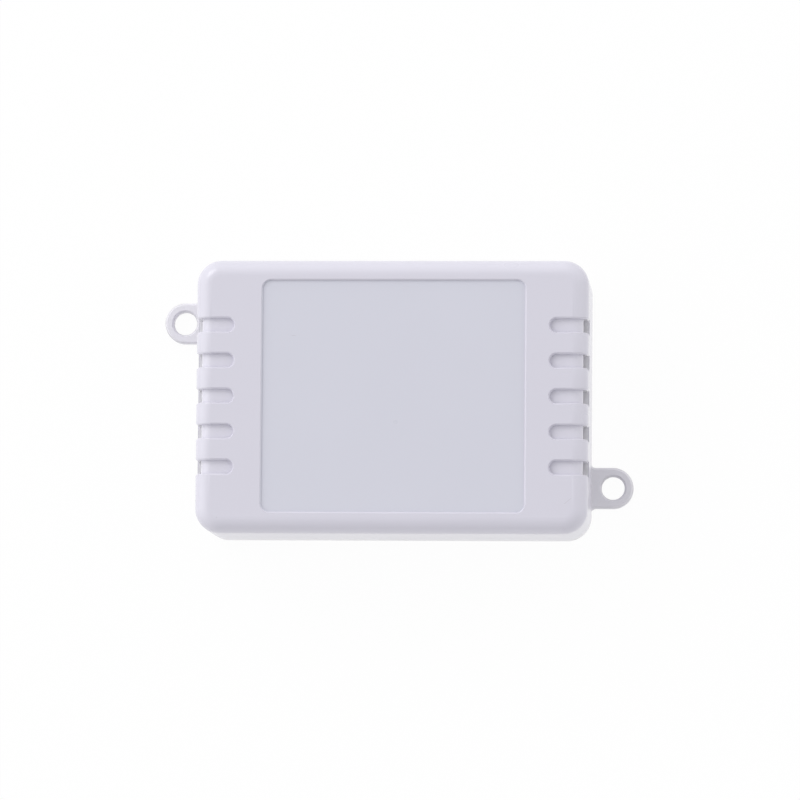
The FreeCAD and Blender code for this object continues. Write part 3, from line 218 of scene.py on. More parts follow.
# Rounding of the sharp edges of CAD nodes, in mm.
EDGES = {"battery_holder": 0.15, "circuit_board": 0.05, "radio_board": 0.05, "shield_can": 0.1,
         "switch_housing": 0.12, "switch_plate": 0.08, "header_housing": 0.15, "filter_cap": 0.2,
         "capacitor_base": 0.15, "inductor": 0.15, "chip_antenna": 0.06, "switch_plunger": 0.15,
         "header_pins": 0.08, "crystal": 0.1, "status_led": 0.05}

# Cells and their holder. The sleeve is folded over both rims and has its pale band at the positive end.
SIGN_REACH = 16.0 * MM                      # signs in the troughs, from the middle of the cell
SIGN_LONG = 1.6 * MM
SIGN_SHORT = 0.35 * MM
SIGN_DEPTH = 0.25 * MM
CELL_TERMINAL = 1.0 * MM
CELL_TERMINAL_RADIUS = 2.75 * MM
CELL_TERMINAL_EDGE = 0.3 * MM
CELL_TERMINAL_CHAMFER = 0.08 * MM
CELL_RIM = 0.55 * MM
CELL_RIM_TURNS = (0.0, 0.4, 0.8, 1.2, math.pi / 2)
CELL_FLAT_END = ((0.12, 0.0), (0.12, 3.9), (0.35, 4.3), (0.35, 5.6))      # depth and radius in mm
CELL_SHOULDER = ((0.45, 5.6), (0.45, 3.6), (0.15, 3.1))                   # as above
CELL_STEPS = 72
SLEEVE_FOLD = 1.1 * MM
SLEEVE_END = 0.02 * MM
SLEEVE_BAND = 14.0 * MM
SLEEVE_LINE = 15.0 * MM
SLEEVE_LINE_HALF = 0.35 * MM

# Capacitor can: height and how far in from the radius, in mm, from its foot to above the crimp.
CAN_FOOT = ((0.0, 0.15), (0.15, 0.0), (0.75, 0.0), (0.95, 0.35), (1.25, 0.35), (1.45, 0.0))
CAN_RIM = 0.4 * MM
CAN_RIM_TURNS = (0.0, 0.5, 1.0, math.pi / 2)
CAN_DISH = 0.05 * MM                        # how far the top is below the rim
CAN_DISH_INSET = 0.7 * MM
CAN_STEPS = 56

# Snap leaf of the pairing switch.
SPRING_SHEET = 0.1 * MM
SPRING_FOOT = 0.25 * MM                     # flat at each end
SPRING_CROWN = 1.0 * MM                     # flat in the middle, half its length
SPRING_WAIST = 0.2 * MM                     # how much narrower the leaf is at its crown, each side
SPRING_STEPS = 24

# Snap beads on the base's lip.
BEAD_INSET = 1.15 * MM                      # from the outside of the case
BEAD_LEVEL = 5.95 * MM
BEAD_PLACES = (-24 * MM, 0.0, 24 * MM)      # along each long side
BEAD_RADIUS = 0.4 * MM
BEAD_HALF_LENGTH = 4.0 * MM
BEAD_PROUD = 0.12 * MM
BEAD_TURNS = (0.0, 0.3, 0.6, 0.9, 1.2, math.pi / 2)
BEAD_STEPS = 20

# Places and sizes on the board.
BOARD_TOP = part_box("circuit_board")[1].z
LEAD_FOOT = 1.0 * MM                        # how much of a lead shows
DIODE_FOOT = 0.5 * MM
CHIP_END = 0.32 * MM
CHIP_END_PROUD = 0.02 * MM
CHIP_END_LIFT = 0.005 * MM
TERMINAL_ROUNDING = 0.05 * MM
TAB_HALF_WIDTH = 0.4 * MM                   # of the capacitor's terminals
TAB_REACH = -0.6 * MM, 0.22 * MM            # from the edge of its base, out being positive
TAB_LEVELS = 0.04 * MM, 0.2 * MM
TAB_ROUNDING = 0.04 * MM
LEG_HALF_WIDTH = 0.35 * MM                  # of the switch's legs
LEG_INSET = 0.9 * MM
LEG_RISE = 0.0, 0.25 * MM                   # upright part, from the side of the housing
LEG_RISE_LEVELS = 0.05 * MM, 1.0 * MM
LEG_REACH = -0.2 * MM, 0.75 * MM            # flat part
LEG_LEVELS = 0.04 * MM, 0.22 * MM
RADIO_JOINTS = 6
RADIO_PITCH = 1.9 * MM
JOINT_SHIFT = 0.1 * MM
JOINT_HEIGHT = 0.62 * MM
JOINT_RADIUS = 0.40 * MM
JOINT_TURNS = (0.0, 0.35, 0.7, 1.05, 1.35, math.pi / 2)
JOINT_STEPS = 16
LAND_HEIGHT = 0.04 * MM
LAND_ROUNDING = 0.03 * MM
LEAD_LAND = 1.3 * MM, 0.55 * MM             # length and width, as the next two
CHIP_LAND = 0.9 * MM, 0.95 * MM
JOINT_LAND = 1.0 * MM, 0.8 * MM
LEAD_LAND_SHIFT = 0.3 * MM
TRACK_HEIGHT = 0.02 * MM
TRACK_WIDTH = 0.28 * MM
TRACK_CORNER = 0.5 * MM
TRACK_MITRE = 0.5                           # a corner is widened by at most 1 over this
SUPPLY_WIDTH = 1.5 * MM
SUPPLY_HEIGHT = 0.016 * MM                  # lower than the tracks, which may cross it
FANOUT_FIRST = 0.7 * MM
FANOUT_STAGGER = 0.5 * MM
FANOUT_LEAN = 0.30                          # in mm, as the next one
FANOUT_SPREAD = 0.2
FANOUT_LAST = 0.35 * MM
VIA_HOLE = 0.12 * MM
VIA_RADIUS = 0.30 * MM
VIA_STEPS = 20
VIA_MARGIN = 0.45 * MM                      # from a via to any part
VIA_SPACING = 0.75 * MM
TEST_COLUMN = [(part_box("circuit_board")[0].x + 4.0 * MM, y * MM) for y in (-8.0, -5.0, -2.0, 1.0, 4.0)]
TEST_PAIR = ((-3.0 * MM, 21.0 * MM), (-4.6 * MM, 11.0 * MM))              # x from the board's right edge
TEST_RADII = 0.6 * MM, 0.55 * MM            # at the foot and at the top, as the next one
DOT_RADII = 0.22 * MM, 0.20 * MM
TEST_STEPS = 24
DOT_STEPS = 16
PRINT_HEIGHT = 0.03 * MM
PRINT_WIDTH = 0.16 * MM
PRINT_CORNER = 0.9 * MM
PRINT_DOTS = (("microcontroller", 0.15 * MM, -0.15 * MM), ("memory_chip", -0.35 * MM, -0.55 * MM))

# Tracks beside the holder and beside the sensor: the first one's place, and the step to the next.
DATA_LANE = 1.2 * MM, 0.5 * MM
DATA_LEVEL = 1.5 * MM, 0.55 * MM
DATA_STOP = 0.2 * MM                        # below the radio board's edge
SENSOR_LINES = 4
SENSOR_LANE = 0.75 * MM, 0.45 * MM
SENSOR_LEVEL = 2.0 * MM, -0.45 * MM
SENSOR_STOP = -0.4 * MM, 0.65 * MM

# Lands at both ends of a part, in mm: how far they reach past it, their length and their width.
END_LANDS = {"diode": (0.3, 1.3, 1.9), "inductor": (0.3, 1.2, 3.4), "capacitor_base": (0.35, 1.2, 1.2),
             "crystal": (0.5, 1.5, 2.2), "status_led": (0.45, 0.9, 1.3)}

# Printed outlines: margins along x and y in mm, and which sides of the part have a line.
OUTLINES = {"memory_chip": (0.3, -0.9, "y"), "regulator": (0.3, -0.6, "y"), "diode": (-0.5, 0.3, "x"),
            "crystal": (-0.3, 0.35, "x"), "capacitor_base": (0, 0.3, "x"), "inductor": (0, 0.3, "x"),
            "switch_housing": (0, 0.3, "x"), "status_led": (0.5, 0.3, "x"),
            "filter_cap": (0.3, 0.3, "corners"), "microcontroller": (-0.55, -0.55, "corners"),
            "header_housing": (0.25, 0.25, "corners"), "radio_board": (0.25, 0.1, "y")}

# Chips with leads: the pitch, how many a side, and the way out of each side.
LEADED = (("microcontroller", 1.0 * MM, 6, ((1, 0), (-1, 0), (0, 1), (0, -1))),
          ("memory_chip", 1.27 * MM, 4, ((0, 1), (0, -1))),
          ("regulator", 1.5 * MM, 3, ((0, -1),)))

# Groups of small chip parts, with their slots.
CHIP_GROUPS = {"chip_capacitors": "capacitor_ceramic", "chip_resistors": "resistor_ceramic"}

# The supply's parts, in the order that the current takes.
SUPPLY = ("diode", "switch_housing", "capacitor_base", "inductor", "regulator")

# Seed of the tracks' small differences.
TRACK_SEED = 5

ALONG_X, ALONG_Y, OUT = Vector((1, 0, 0)), Vector((0, 1, 0)), Vector((0, 0, 1))

# A Mix node's two inputs and its output, for numbers and for colours.
NUMBER_SOCKETS = (2, 3, 0)
COLOUR_SOCKETS = (6, 7, 2)


# Node building.

class Nodes:
    """Adds nodes to one tree, left to right."""

    def __init__(self, tree):
        self.tree = tree

    def add(self, kind, **settings):
        node = self.tree.nodes.new("ShaderNode" + kind)
        for name, value in settings.items():
            setattr(node, name, value)
        return node

    def link(self, source, target):
        self.tree.links.new(source, target)

    def feed(self, socket, value):
        """Links a socket, or sets it where the value is plain."""
        if isinstance(value, bpy.types.NodeSocket):
            self.link(value, socket)
        else:
            socket.default_value = value

    def set_inputs(self, node, **inputs):
        """Links or sets inputs by name, with _ for a space. Returns the node."""
        for name, value in inputs.items():
            self.feed(node.inputs[name.replace("_", " ")], value)
        return node

    def object_place(self):
        return self.add("TexCoord").outputs["Object"]

    def maths(self, operation, first, second=0.0):
        node = self.add("Math", operation=operation)
        self.feed(node.inputs[0], first)
        self.feed(node.inputs[1], second)
        return node.outputs["Value"]

    def vector_maths(self, operation, first, second=None, output="Vector"):
        node = self.add("VectorMath", operation=operation)
        self.feed(node.inputs[0], first)
        if second is not None:
            self.feed(node.inputs[1], second)
        return node.outputs[output]

    def measure(self, operation, first, second=None):
        """A number from vectors, such as their LENGTH or DOT_PRODUCT."""
        return self.vector_maths(operation, first, second, output="Value")

    def within(self, value, reach):
        """1 where the value is less than reach away from 0."""
        return self.maths("LESS_THAN", self.maths("ABSOLUTE", value), reach)

    def all_of(self, mask, *others):
        """1 where every mask is 1."""
        for other in others:
            mask = self.maths("MULTIPLY", other, mask)
        return mask

    def opposite(self, mask):
        return self.maths("SUBTRACT", 1.0, mask)

    def scaled(self, vector, factor):
        node = self.add("VectorMath", operation="SCALE")
        self.feed(node.inputs[0], vector)
        self.feed(node.inputs["Scale"], factor)
        return node.outputs[0]

    def wave(self, value, rate):
        return self.maths("SINE", self.maths("MULTIPLY", value, rate))

    def place_from(self, middle):
        return self.vector_maths("SUBTRACT", self.object_place(), middle)

    def axes(self, vector):
        node = self.add("SeparateXYZ")
        self.link(vector, node.inputs[0])
        return node.outputs

    def vector(self, x, y, z):
        node = self.add("CombineXYZ")
        for socket, value in zip(node.inputs, (x, y, z)):
            self.feed(socket, value)
        return node.outputs[0]

    def spread(self, value, low, high, to_low=0.0, to_high=1.0):
        node = self.add("MapRange")
        for name, number in (("Value", value), ("From Min", low), ("From Max", high),
                             ("To Min", to_low), ("To Max", to_high)):
            self.feed(node.inputs[name], number)
        return node.outputs["Result"]

    def between(self, kind, sockets, factor, first, second):
        node = self.add("Mix", data_type=kind)
        at_zero, at_one, result = sockets
        self.feed(node.inputs["Factor"], factor)
        self.feed(node.inputs[at_zero], first)
        self.feed(node.inputs[at_one], second)
        return node.outputs[result]

    def mix(self, factor, first, second):
        """A colour that goes from the first to the second."""
        return self.between("RGBA", COLOUR_SOCKETS, factor, first, second)

    def blend(self, factor, first, second):
        """A number that goes from the first to the second."""
        return self.between("FLOAT", NUMBER_SOCKETS, factor, first, second)

    def noise(self, place, scale, detail=2.0, roughness=0.5):
        node = self.set_inputs(self.add("TexNoise"), Vector=place, Scale=scale, Detail=detail, Roughness=roughness)
        return node.outputs["Fac"]

    def bump(self, height, distance, strength, normal=None):
        node = self.set_inputs(self.add("Bump"), Height=height, Distance=distance, Strength=strength)
        if normal:
            self.link(normal, node.inputs["Normal"])
        return node.outputs["Normal"]


def new_group(name, inputs, outputs):
    """A shader group with named sockets. Inputs are name, kind and default, outputs name and kind."""
    group = bpy.data.node_groups.new(name, "ShaderNodeTree")
    for socket_name, kind, default in inputs:
        socket = group.interface.new_socket(socket_name, in_out="INPUT", socket_type="NodeSocket" + kind)
        socket.default_value = default
    for socket_name, kind in outputs:
        group.interface.new_socket(socket_name, in_out="OUTPUT", socket_type="NodeSocket" + kind)
    given = group.nodes.new("NodeGroupInput").outputs
    out = group.nodes.new("NodeGroupOutput").inputs
    return group, Nodes(group), given, out


def moulded_skin():
    """Fine grain of a moulded or coated surface, with a faint unevenness of tone and gloss."""
    group, nodes, given, out = new_group("moulded_skin", (
        ("Colour", "Color", (0.5, 0.5, 0.5, 1)),
        ("Roughness", "Float", 0.5),
        ("Grain Scale", "Float", 4000.0),
        ("Grain Depth", "Float", 0.2),
        ("Tone", "Float", 0.02)), (("Colour", "Color"), ("Roughness", "Float"), ("Normal", "Vector")))
    place = nodes.object_place()
    clouds = nodes.maths("SUBTRACT", nodes.noise(place, CLOUD_SCALE), 0.5)
    level = nodes.maths("ADD", nodes.maths("MULTIPLY", clouds, given["Tone"]), 1.0)
    nodes.link(nodes.scaled(given["Colour"], level), out["Colour"])
    uneven_gloss = nodes.maths("MULTIPLY", clouds, CLOUD_GLOSS)
    nodes.link(nodes.maths("ADD", given["Roughness"], uneven_gloss), out["Roughness"])
    grain = nodes.noise(place, given["Grain Scale"], 3.0)
    nodes.link(nodes.bump(grain, GRAIN_HEIGHT, given["Grain Depth"]), out["Normal"])
    return group


def rolled_metal():
    """Rolling lines of sheet metal along X, and a dull bloom in patches."""
    group, nodes, given, out = new_group("rolled_metal", (
        ("Colour", "Color", (0.6, 0.6, 0.6, 1)),
        ("Roughness", "Float", 0.3),
        ("Line Depth", "Float", 0.2),
        ("Bloom", "Float", 0.2)), (("Colour", "Color"), ("Roughness", "Float"), ("Normal", "Vector")))
    place = nodes.object_place()
    lines = nodes.noise(nodes.vector_maths("MULTIPLY", place, ROLLING_STRETCH), ROLLING_SCALE)
    clouds = nodes.noise(place, BLOOM_SCALE, 3.0)
    dull = nodes.maths("MULTIPLY", nodes.spread(clouds, *BLOOM_RANGE), given["Bloom"])
    nodes.link(nodes.scaled(given["Colour"], nodes.opposite(dull)), out["Colour"])
    rougher = nodes.maths("ADD", given["Roughness"], nodes.maths("MULTIPLY", dull, BLOOM_ROUGHNESS))
    nodes.link(rougher, out["Roughness"])
    nodes.link(nodes.bump(lines, ROLLING_HEIGHT, given["Line Depth"]), out["Normal"])
    return group


def box_mask():
    """1 inside an upright box, 0 outside."""
    group, nodes, given, out = new_group("box_mask", (
        ("Centre", "Vector", (0, 0, 0)),
        ("Half Size", "Vector", (MM, MM, MM))), (("Inside", "Float"),))
    offset = nodes.vector_maths("ABSOLUTE", nodes.place_from(given["Centre"]))
    x, y, z = nodes.axes(nodes.vector_maths("SUBTRACT", offset, given["Half Size"]))
    furthest = nodes.maths("MAXIMUM", nodes.maths("MAXIMUM", x, y), z)
    nodes.link(nodes.maths("LESS_THAN", furthest, 0.0), out["Inside"])
    return group


def round_mask():
    """1 within a radius of an axis through a place, 0 beyond, with a soft rim. Across picks the plane."""
    group, nodes, given, out = new_group("round_mask", (
        ("Centre", "Vector", (0, 0, 0)),
        ("Across", "Vector", (1, 1, 0)),
        ("Radius", "Float", MM),
        ("Rim", "Float", 0.02 * MM)), (("Inside", "Float"),))
    offset = nodes.vector_maths("MULTIPLY", nodes.place_from(given["Centre"]), given["Across"])
    distance = nodes.measure("LENGTH", offset)
    outer = nodes.maths("ADD", given["Radius"], given["Rim"])
    nodes.link(nodes.spread(distance, outer, given["Radius"]), out["Inside"])
    return group


MOULDED_SKIN = moulded_skin()
ROLLED_METAL = rolled_metal()
BOX_MASK = box_mask()
ROUND_MASK = round_mask()


# Materials.

def new_material(name):
    """A material with its Principled shader."""
    material = bpy.data.materials.new(name)
    material.use_nodes = True
    return material, Nodes(material.node_tree), material.node_tree.nodes["Principled BSDF"]


def placed(nodes, group, **inputs):
    node = nodes.add("Group")
    node.node_tree = group
    return nodes.set_inputs(node, **inputs).outputs


def inside_box(nodes, centre, half_size):
    return placed(nodes, BOX_MASK, Centre=centre, Half_Size=half_size)["Inside"]


def inside_round(nodes, centre, radius, rim, across=(1, 1, 0)):
    return placed(nodes, ROUND_MASK, Centre=centre, Across=across, Radius=radius, Rim=rim)["Inside"]


def inside_ends(nodes, node, end_x, end_y):
    """1 on a part up to its ends, which are that long along x or y."""
    return inside_box(nodes, middle_of(node), half_size_of(node) - Vector((end_x, end_y, -MM)))


def dress(nodes, shader, finish):
    nodes.set_inputs(shader, Base_Color=finish["Colour"], Roughness=finish["Roughness"], Normal=finish["Normal"])


def plastic(name, colour, roughness=0.45, grain=3000.0, depth=0.3, tone=0.05):
    material, nodes, shader = new_material(name)
    dress(nodes, shader, placed(nodes, MOULDED_SKIN, Colour=colour, Roughness=roughness,
                                Grain_Scale=grain, Grain_Depth=depth, Tone=tone))
    return material


def metal(name, colour, roughness=0.3, lines=0.2, bloom=0.2):
    material, nodes, shader = new_material(name)
    dress(nodes, shader, placed(nodes, ROLLED_METAL, Colour=colour, Roughness=roughness,
                                Line_Depth=lines, Bloom=bloom))
    nodes.set_inputs(shader, Metallic=1.0)
    return material


def over_metal(nodes, shader, mask, colour, roughness, under=TIN, grain=2500.0):
    """Moulded stuff where the mask is 1 and tinned metal elsewhere."""
    top = placed(nodes, MOULDED_SKIN, Colour=colour, Roughness=roughness, Grain_Scale=grain,
                 Grain_Depth=0.4, Tone=0.1)
    below = placed(nodes, ROLLED_METAL, Colour=under, Roughness=0.3, Line_Depth=0.1, Bloom=0.3)
    nodes.set_inputs(shader, Base_Color=nodes.mix(mask, below["Colour"], top["Colour"]),
                     Roughness=nodes.blend(mask, below["Roughness"], top["Roughness"]),
                     Metallic=nodes.opposite(mask), Normal=top["Normal"])


def case_plastic(name, colour):
    """Pale lavender plastic, moulded smooth."""
    material, nodes, shader = new_material(name)
    dress(nodes, shader, placed(nodes, MOULDED_SKIN, Colour=colour, Roughness=0.30,
                                Grain_Scale=5200.0, Grain_Depth=0.25, Tone=0.02))
    nodes.set_inputs(shader, IOR=1.5, Coat_Weight=0.35, Coat_Roughness=0.12)
    return material


def vent_light_mask(nodes):
    """1 on the floors and flanks of the vents, where the cover is painted paler as painted light, 0 elsewhere."""
    x, y, z = nodes.axes(nodes.object_place())
    return nodes.all_of(nodes.maths("LESS_THAN", nodes.maths("PINGPONG", y, VENT_PITCH / 2), VENT_HALF),
                        nodes.within(y, VENT_ROWS_REACH),
                        nodes.maths("GREATER_THAN", nodes.maths("ABSOLUTE", x), VENT_INBOARD),
                        nodes.maths("LESS_THAN", z, VENT_TOP),
                        nodes.maths("GREATER_THAN", z, VENT_FOOT))


def cover_marks(nodes):
    """Two faint specks and a hairline scratch."""
    specks = 0.0
    for centre, across in SPECKS:
        specks = nodes.maths("ADD", inside_round(nodes, centre, SPECK_RADIUS, SPECK_RIM, across), specks)
    offset = nodes.place_from(SCRATCH_MIDDLE)
    scratch = nodes.all_of(nodes.within(nodes.measure("DOT_PRODUCT", offset, SCRATCH_ALONG), SCRATCH_HALF_LENGTH),
                           nodes.within(nodes.measure("DOT_PRODUCT", offset, SCRATCH_ACROSS), SCRATCH_HALF_WIDTH))
    return nodes.maths("MULTIPLY", nodes.maths("ADD", scratch, specks), MARK_STRENGTH)


def cover_plastic():
    """The case plastic, a shade cooler on the recess's floor, with its few marks. It is painted paler in the vents
    and much paler on the ledges below them: painted light that lifts the shade in these recesses."""
    material = case_plastic("cover_plastic_look", COVER_COLOUR)
    nodes = Nodes(material.node_tree)
    skin = next(node for node in material.node_tree.nodes if node.type == "GROUP")
    clean = nodes.mix(inside_box(nodes, RECESS_MIDDLE, RECESS_HALF), COVER_COLOUR, RECESS_COLOUR)
    # Painted light: the vents' floors and flanks are painted paler.
    clean = nodes.mix(vent_light_mask(nodes), clean, VENT_PAINTED_LIGHT)
    # Painted light: the ledges below the vents are painted much paler, to lift their deep shade.
    for side in (-1, 1):
        ledge_light_mask = inside_box(nodes, (side * LEDGE_MIDDLE.x, 0, LEDGE_MIDDLE.z), LEDGE_HALF)
        clean = nodes.mix(ledge_light_mask, clean, LEDGE_PAINTED_LIGHT)
    nodes.link(nodes.mix(cover_marks(nodes), clean, MARK_COLOUR), skin.inputs["Colour"])
    return material


def leaded_chip(node, foot_x, foot_y, mark=True, band=None):
    """A resin package on tinned leads, which start where the package ends. A dimple marks its first lead, or
    a pale band its cathode."""
    material, nodes, shader = new_material(node + "_look")
    middle = middle_of(node)
    half = half_size_of(node) - Vector((foot_x, foot_y, -MM))
    colour = RESIN
    if band:
        strip = inside_box(nodes, middle + Vector((band, 0, 0)), (CATHODE_HALF, half.y * 1.1, half.z))
        colour = nodes.mix(strip, RESIN, CATHODE_GREY)
    over_metal(nodes, shader, inside_box(nodes, middle, half), colour, 0.52)
    if mark:
        corner = middle + Vector((-half.x + DIMPLE_INSET, half.y - DIMPLE_INSET, 0))
        sunk = nodes.opposite(inside_round(nodes, corner, DIMPLE_RADIUS, DIMPLE_RIM))
        skin = shader.inputs["Normal"].links[0].from_socket
        nodes.link(nodes.bump(sunk, DIMPLE_DEPTH, 0.8, skin), shader.inputs["Normal"])
    return material


def banded_chip(name, node, colour, roughness, end_x, end_y):
    """A ceramic or plastic block with tinned ends."""
    material, nodes, shader = new_material(name)
    over_metal(nodes, shader, inside_ends(nodes, node, end_x, end_y), colour, roughness)
    return material


def status_lamp():
    """White base with tinned ends, and a clear lens with the yellow lamp chip in it."""
    material, nodes, shader = new_material("status_lamp_look")
    phosphor = inside_round(nodes, middle_of("status_led"), LAMP_RADIUS, LAMP_RIM)
    colour = nodes.mix(phosphor, LAMP_WHITE, LAMP_YELLOW)
    over_metal(nodes, shader, inside_ends(nodes, "status_led", LAMP_END, 0), colour, 0.18)
    nodes.set_inputs(shader, Coat_Weight=0.5, Coat_Roughness=0.08)
    return material


def shield_can():
    """Tinned lid with its rows of small holes, painted black as painted shade of the hollow under the lid."""
    material, nodes, shader = new_material("shield_can_look")
    sheet = placed(nodes, ROLLED_METAL, Colour=TIN, Roughness=0.34, Line_Depth=0.25, Bloom=0.25)
    x, y, z = nodes.axes(nodes.place_from(middle_of("shield_can")))
    edge = half_size_of("shield_can")
    to_hole = nodes.vector(*(nodes.maths("PINGPONG", axis, SHIELD_PITCH / 2) for axis in (x, y)), 0.0)
    # Painted shade: black spots where the lid has its holes.
    hole_shade = nodes.all_of(nodes.maths("LESS_THAN", nodes.measure("LENGTH", to_hole), SHIELD_HOLE),
                        nodes.within(x, edge.x - SHIELD_MARGIN),
                        nodes.within(y, edge.y - SHIELD_MARGIN),
                        nodes.maths("GREATER_THAN", z, edge.z - SHIELD_LID))
    nodes.set_inputs(shader, Base_Color=nodes.mix(hole_shade, sheet["Colour"], HOLE_PAINTED_SHADE),
                     Roughness=nodes.blend(hole_shade, sheet["Roughness"], 0.8), Metallic=nodes.opposite(hole_shade),
                     Normal=sheet["Normal"])
    return material


def laminate(name, node, mask_colour, core_colour):
    """Solder mask on both faces of a board, and its bare sawn edge with the glass layers showing."""
    material, nodes, shader = new_material(name)
    x, y, z = nodes.axes(nodes.place_from(middle_of(node)))
    between_faces = nodes.within(z, half_size_of(node).z - MASK_THICKNESS)
    coat = placed(nodes, MOULDED_SKIN, Colour=mask_colour, Roughness=0.30, Grain_Scale=1500.0,
                  Grain_Depth=0.15, Tone=0.12)
    weave = nodes.maths("MULTIPLY", *(nodes.wave(axis, WEAVE_RATE) for axis in (x, y)))
    core = nodes.mix(nodes.spread(nodes.wave(z, LAYER_RATE), -1.0, 1.0), core_colour, GLASS_LAYER)
    nodes.set_inputs(shader, Base_Color=nodes.mix(between_faces, coat["Colour"], core),
                     Roughness=nodes.blend(between_faces, coat["Roughness"], 0.75),
                     Normal=nodes.bump(weave, WEAVE_HEIGHT, 0.5, coat["Normal"]))
    return material


def cell_sleeve(cell, way):
    """Shrunk film sleeve with a pale band towards the positive end, and bare steel ends."""
    material, nodes, shader = new_material(cell + "_look")
    half = half_size_of(cell)
    x, y, z = nodes.axes(nodes.place_from(middle_of(cell)))
    along = nodes.maths("MULTIPLY", x, float(way))
    from_axis = nodes.measure("LENGTH", nodes.vector(0.0, y, z))
    sleeve = nodes.all_of(nodes.maths("GREATER_THAN", from_axis, half.z - SLEEVE_FOLD),
                          nodes.maths("LESS_THAN", along, half.x - CELL_TERMINAL - SLEEVE_END))
    band = nodes.maths("GREATER_THAN", along, half.x - SLEEVE_BAND)
    line = nodes.within(nodes.maths("SUBTRACT", along, half.x - SLEEVE_LINE), SLEEVE_LINE_HALF)
    colour = nodes.mix(line, nodes.mix(band, SLEEVE_DARK, SLEEVE_PALE), SLEEVE_PALE)
    over_metal(nodes, shader, sleeve, colour, 0.30, under=CELL_STEEL, grain=900.0)
    nodes.set_inputs(shader, Coat_Weight=0.3, Coat_Roughness=0.12)
    return material


def capacitor_aluminium():
    """Drawn can with the dark sector that marks its negative side."""
    material, nodes, shader = new_material("capacitor_look")
    half = half_size_of("capacitor_can")
    x, _, z = nodes.axes(nodes.place_from(middle_of("capacitor_can")))
    sector = nodes.all_of(nodes.maths("LESS_THAN", x, SECTOR_EDGE * half.x),
                          nodes.maths("GREATER_THAN", z, half.z - SECTOR_DEPTH))
    over_metal(nodes, shader, sector, CAN_SECTOR, 0.4, under=CAN_ALUMINIUM)
    return material


def holder_plastic():
    """Black plastic with a plus and a minus sunk in each trough, towards the cell's ends."""
    material, nodes, shader = new_material("holder_look")
    finish = placed(nodes, MOULDED_SKIN, Colour=BLACK_PLASTIC, Roughness=0.45, Grain_Scale=3000.0,
                    Grain_Depth=0.3, Tone=0.05)
    signs = 0.0
    for cell, way in (("cell_1", 1), ("cell_2", -1)):
        floor = middle_of(cell)
        floor.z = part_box(cell)[0].z
        for end, reach_x, reach_y in ((1, SIGN_LONG, SIGN_SHORT), (1, SIGN_SHORT, SIGN_LONG),
                                      (-1, SIGN_LONG, SIGN_SHORT)):
            centre = floor + Vector((way * end * SIGN_REACH, 0, 0))
            signs = nodes.maths("MAXIMUM", inside_box(nodes, centre, (reach_x, reach_y, MM)), signs)
    nodes.set_inputs(shader, Base_Color=nodes.mix(signs, finish["Colour"], SIGN_COLOUR),
                     Roughness=finish["Roughness"],
                     Normal=nodes.bump(nodes.opposite(signs), SIGN_DEPTH, 1.0, finish["Normal"]))
    return material


def porous_film():
    """White film full of fine pores, greyer towards each pore's middle as painted shade in the pores."""
    material, nodes, shader = new_material("membrane_look")
    pores = nodes.set_inputs(nodes.add("TexVoronoi"), Vector=nodes.object_place(), Scale=PORE_SCALE)
    depth = nodes.spread(pores.outputs["Distance"], 0.0, 0.6)
    # Painted shade: the film goes grey towards the middle of each pore.
    nodes.set_inputs(shader, Base_Color=nodes.mix(depth, PORE_PAINTED_SHADE, FILM_WHITE),
                     Roughness=nodes.spread(depth, 0.0, 1.0, 0.95, 0.85),
                     Normal=nodes.bump(depth, PORE_HEIGHT, 0.6))
    return material


LOOKS = {
    "case_plastic": cover_plastic(),
    "board_laminate": laminate("board_look", "circuit_board", GREEN_MASK, BOARD_CORE),
    "black_plastic": plastic("black_plastic_look", BLACK_PLASTIC),
    "contact_steel": metal("contact_look", SPRING_STEEL, 0.28, 0.3, 0.15),
    "radio_laminate": laminate("radio_look", "radio_board", BLUE_MASK, RADIO_CORE),
    "tinned_steel": metal("tinned_look", TIN, 0.34, 0.25, 0.25),
    "antenna_ceramic": banded_chip("antenna_look", "chip_antenna", ANTENNA_WHITE, 0.3, 0, ANTENNA_END),
    "ferrite": plastic("ferrite_look", FERRITE_GREY, 0.65, 1800.0, 0.6, 0.2),
    "capacitor_aluminium": capacitor_aluminium(),
    "plunger_plastic": plastic("plunger_look", PLUNGER_CREAM, 0.38),
    "cap_plastic": plastic("filter_cap_look", CAP_CREAM, 0.5),
    "membrane": porous_film(),
    "pin_brass": metal("pin_look", PIN_BRASS, 0.22, 0.1, 0.1),
    "lamp_plastic": status_lamp(),
    "capacitor_ceramic": plastic("chip_capacitor_look", CERAMIC_TAN, 0.38, 2500.0, 0.2, 0.15),
    "resistor_ceramic": plastic("chip_resistor_look", CERAMIC_BLACK, 0.25, 2500.0, 0.1, 0.1),
}
NODE_LOOKS = {
    # The base's plastic is painted paler than the cover's: painted light for its ears.
    "back_base": case_plastic("base_plastic_painted_light_look", BASE_PAINTED_PALER),
    "microcontroller": leaded_chip("microcontroller", LEAD_FOOT, LEAD_FOOT),
    "memory_chip": leaded_chip("memory_chip", 0, LEAD_FOOT),
    "regulator": leaded_chip("regulator", 0, LEAD_FOOT, mark=False),
    "diode": leaded_chip("diode", DIODE_FOOT, 0, mark=False, band=CATHODE_PLACE),
    "battery_holder": holder_plastic(),
    "sensor_chip": plastic("sensor_chip_look", RESIN, 0.5),
    "shield_can": shield_can(),
    "cell_1": cell_sleeve("cell_1", 1),
    "cell_2": cell_sleeve("cell_2", -1),
}
TINNED = LOOKS["tinned_steel"]
GOLD = metal("gold_land_look", GOLD_PLATE, 0.25, 0.0, 0.1)
SOLDER = metal("solder_look", SOLDER_TIN, 0.22, 0.0, 0.35)
COPPER_UNDER_MASK = plastic("track_look", GREEN_OVER_COPPER, 0.30, 1500.0, 0.15, 0.1)
BOARD_PRINT = plastic("board_print_look", PRINT_WHITE, 0.6, 5000.0, 0.2, 0.1)
BASE_PLASTIC_PAINTED_PALER = NODE_LOOKS["back_base"]


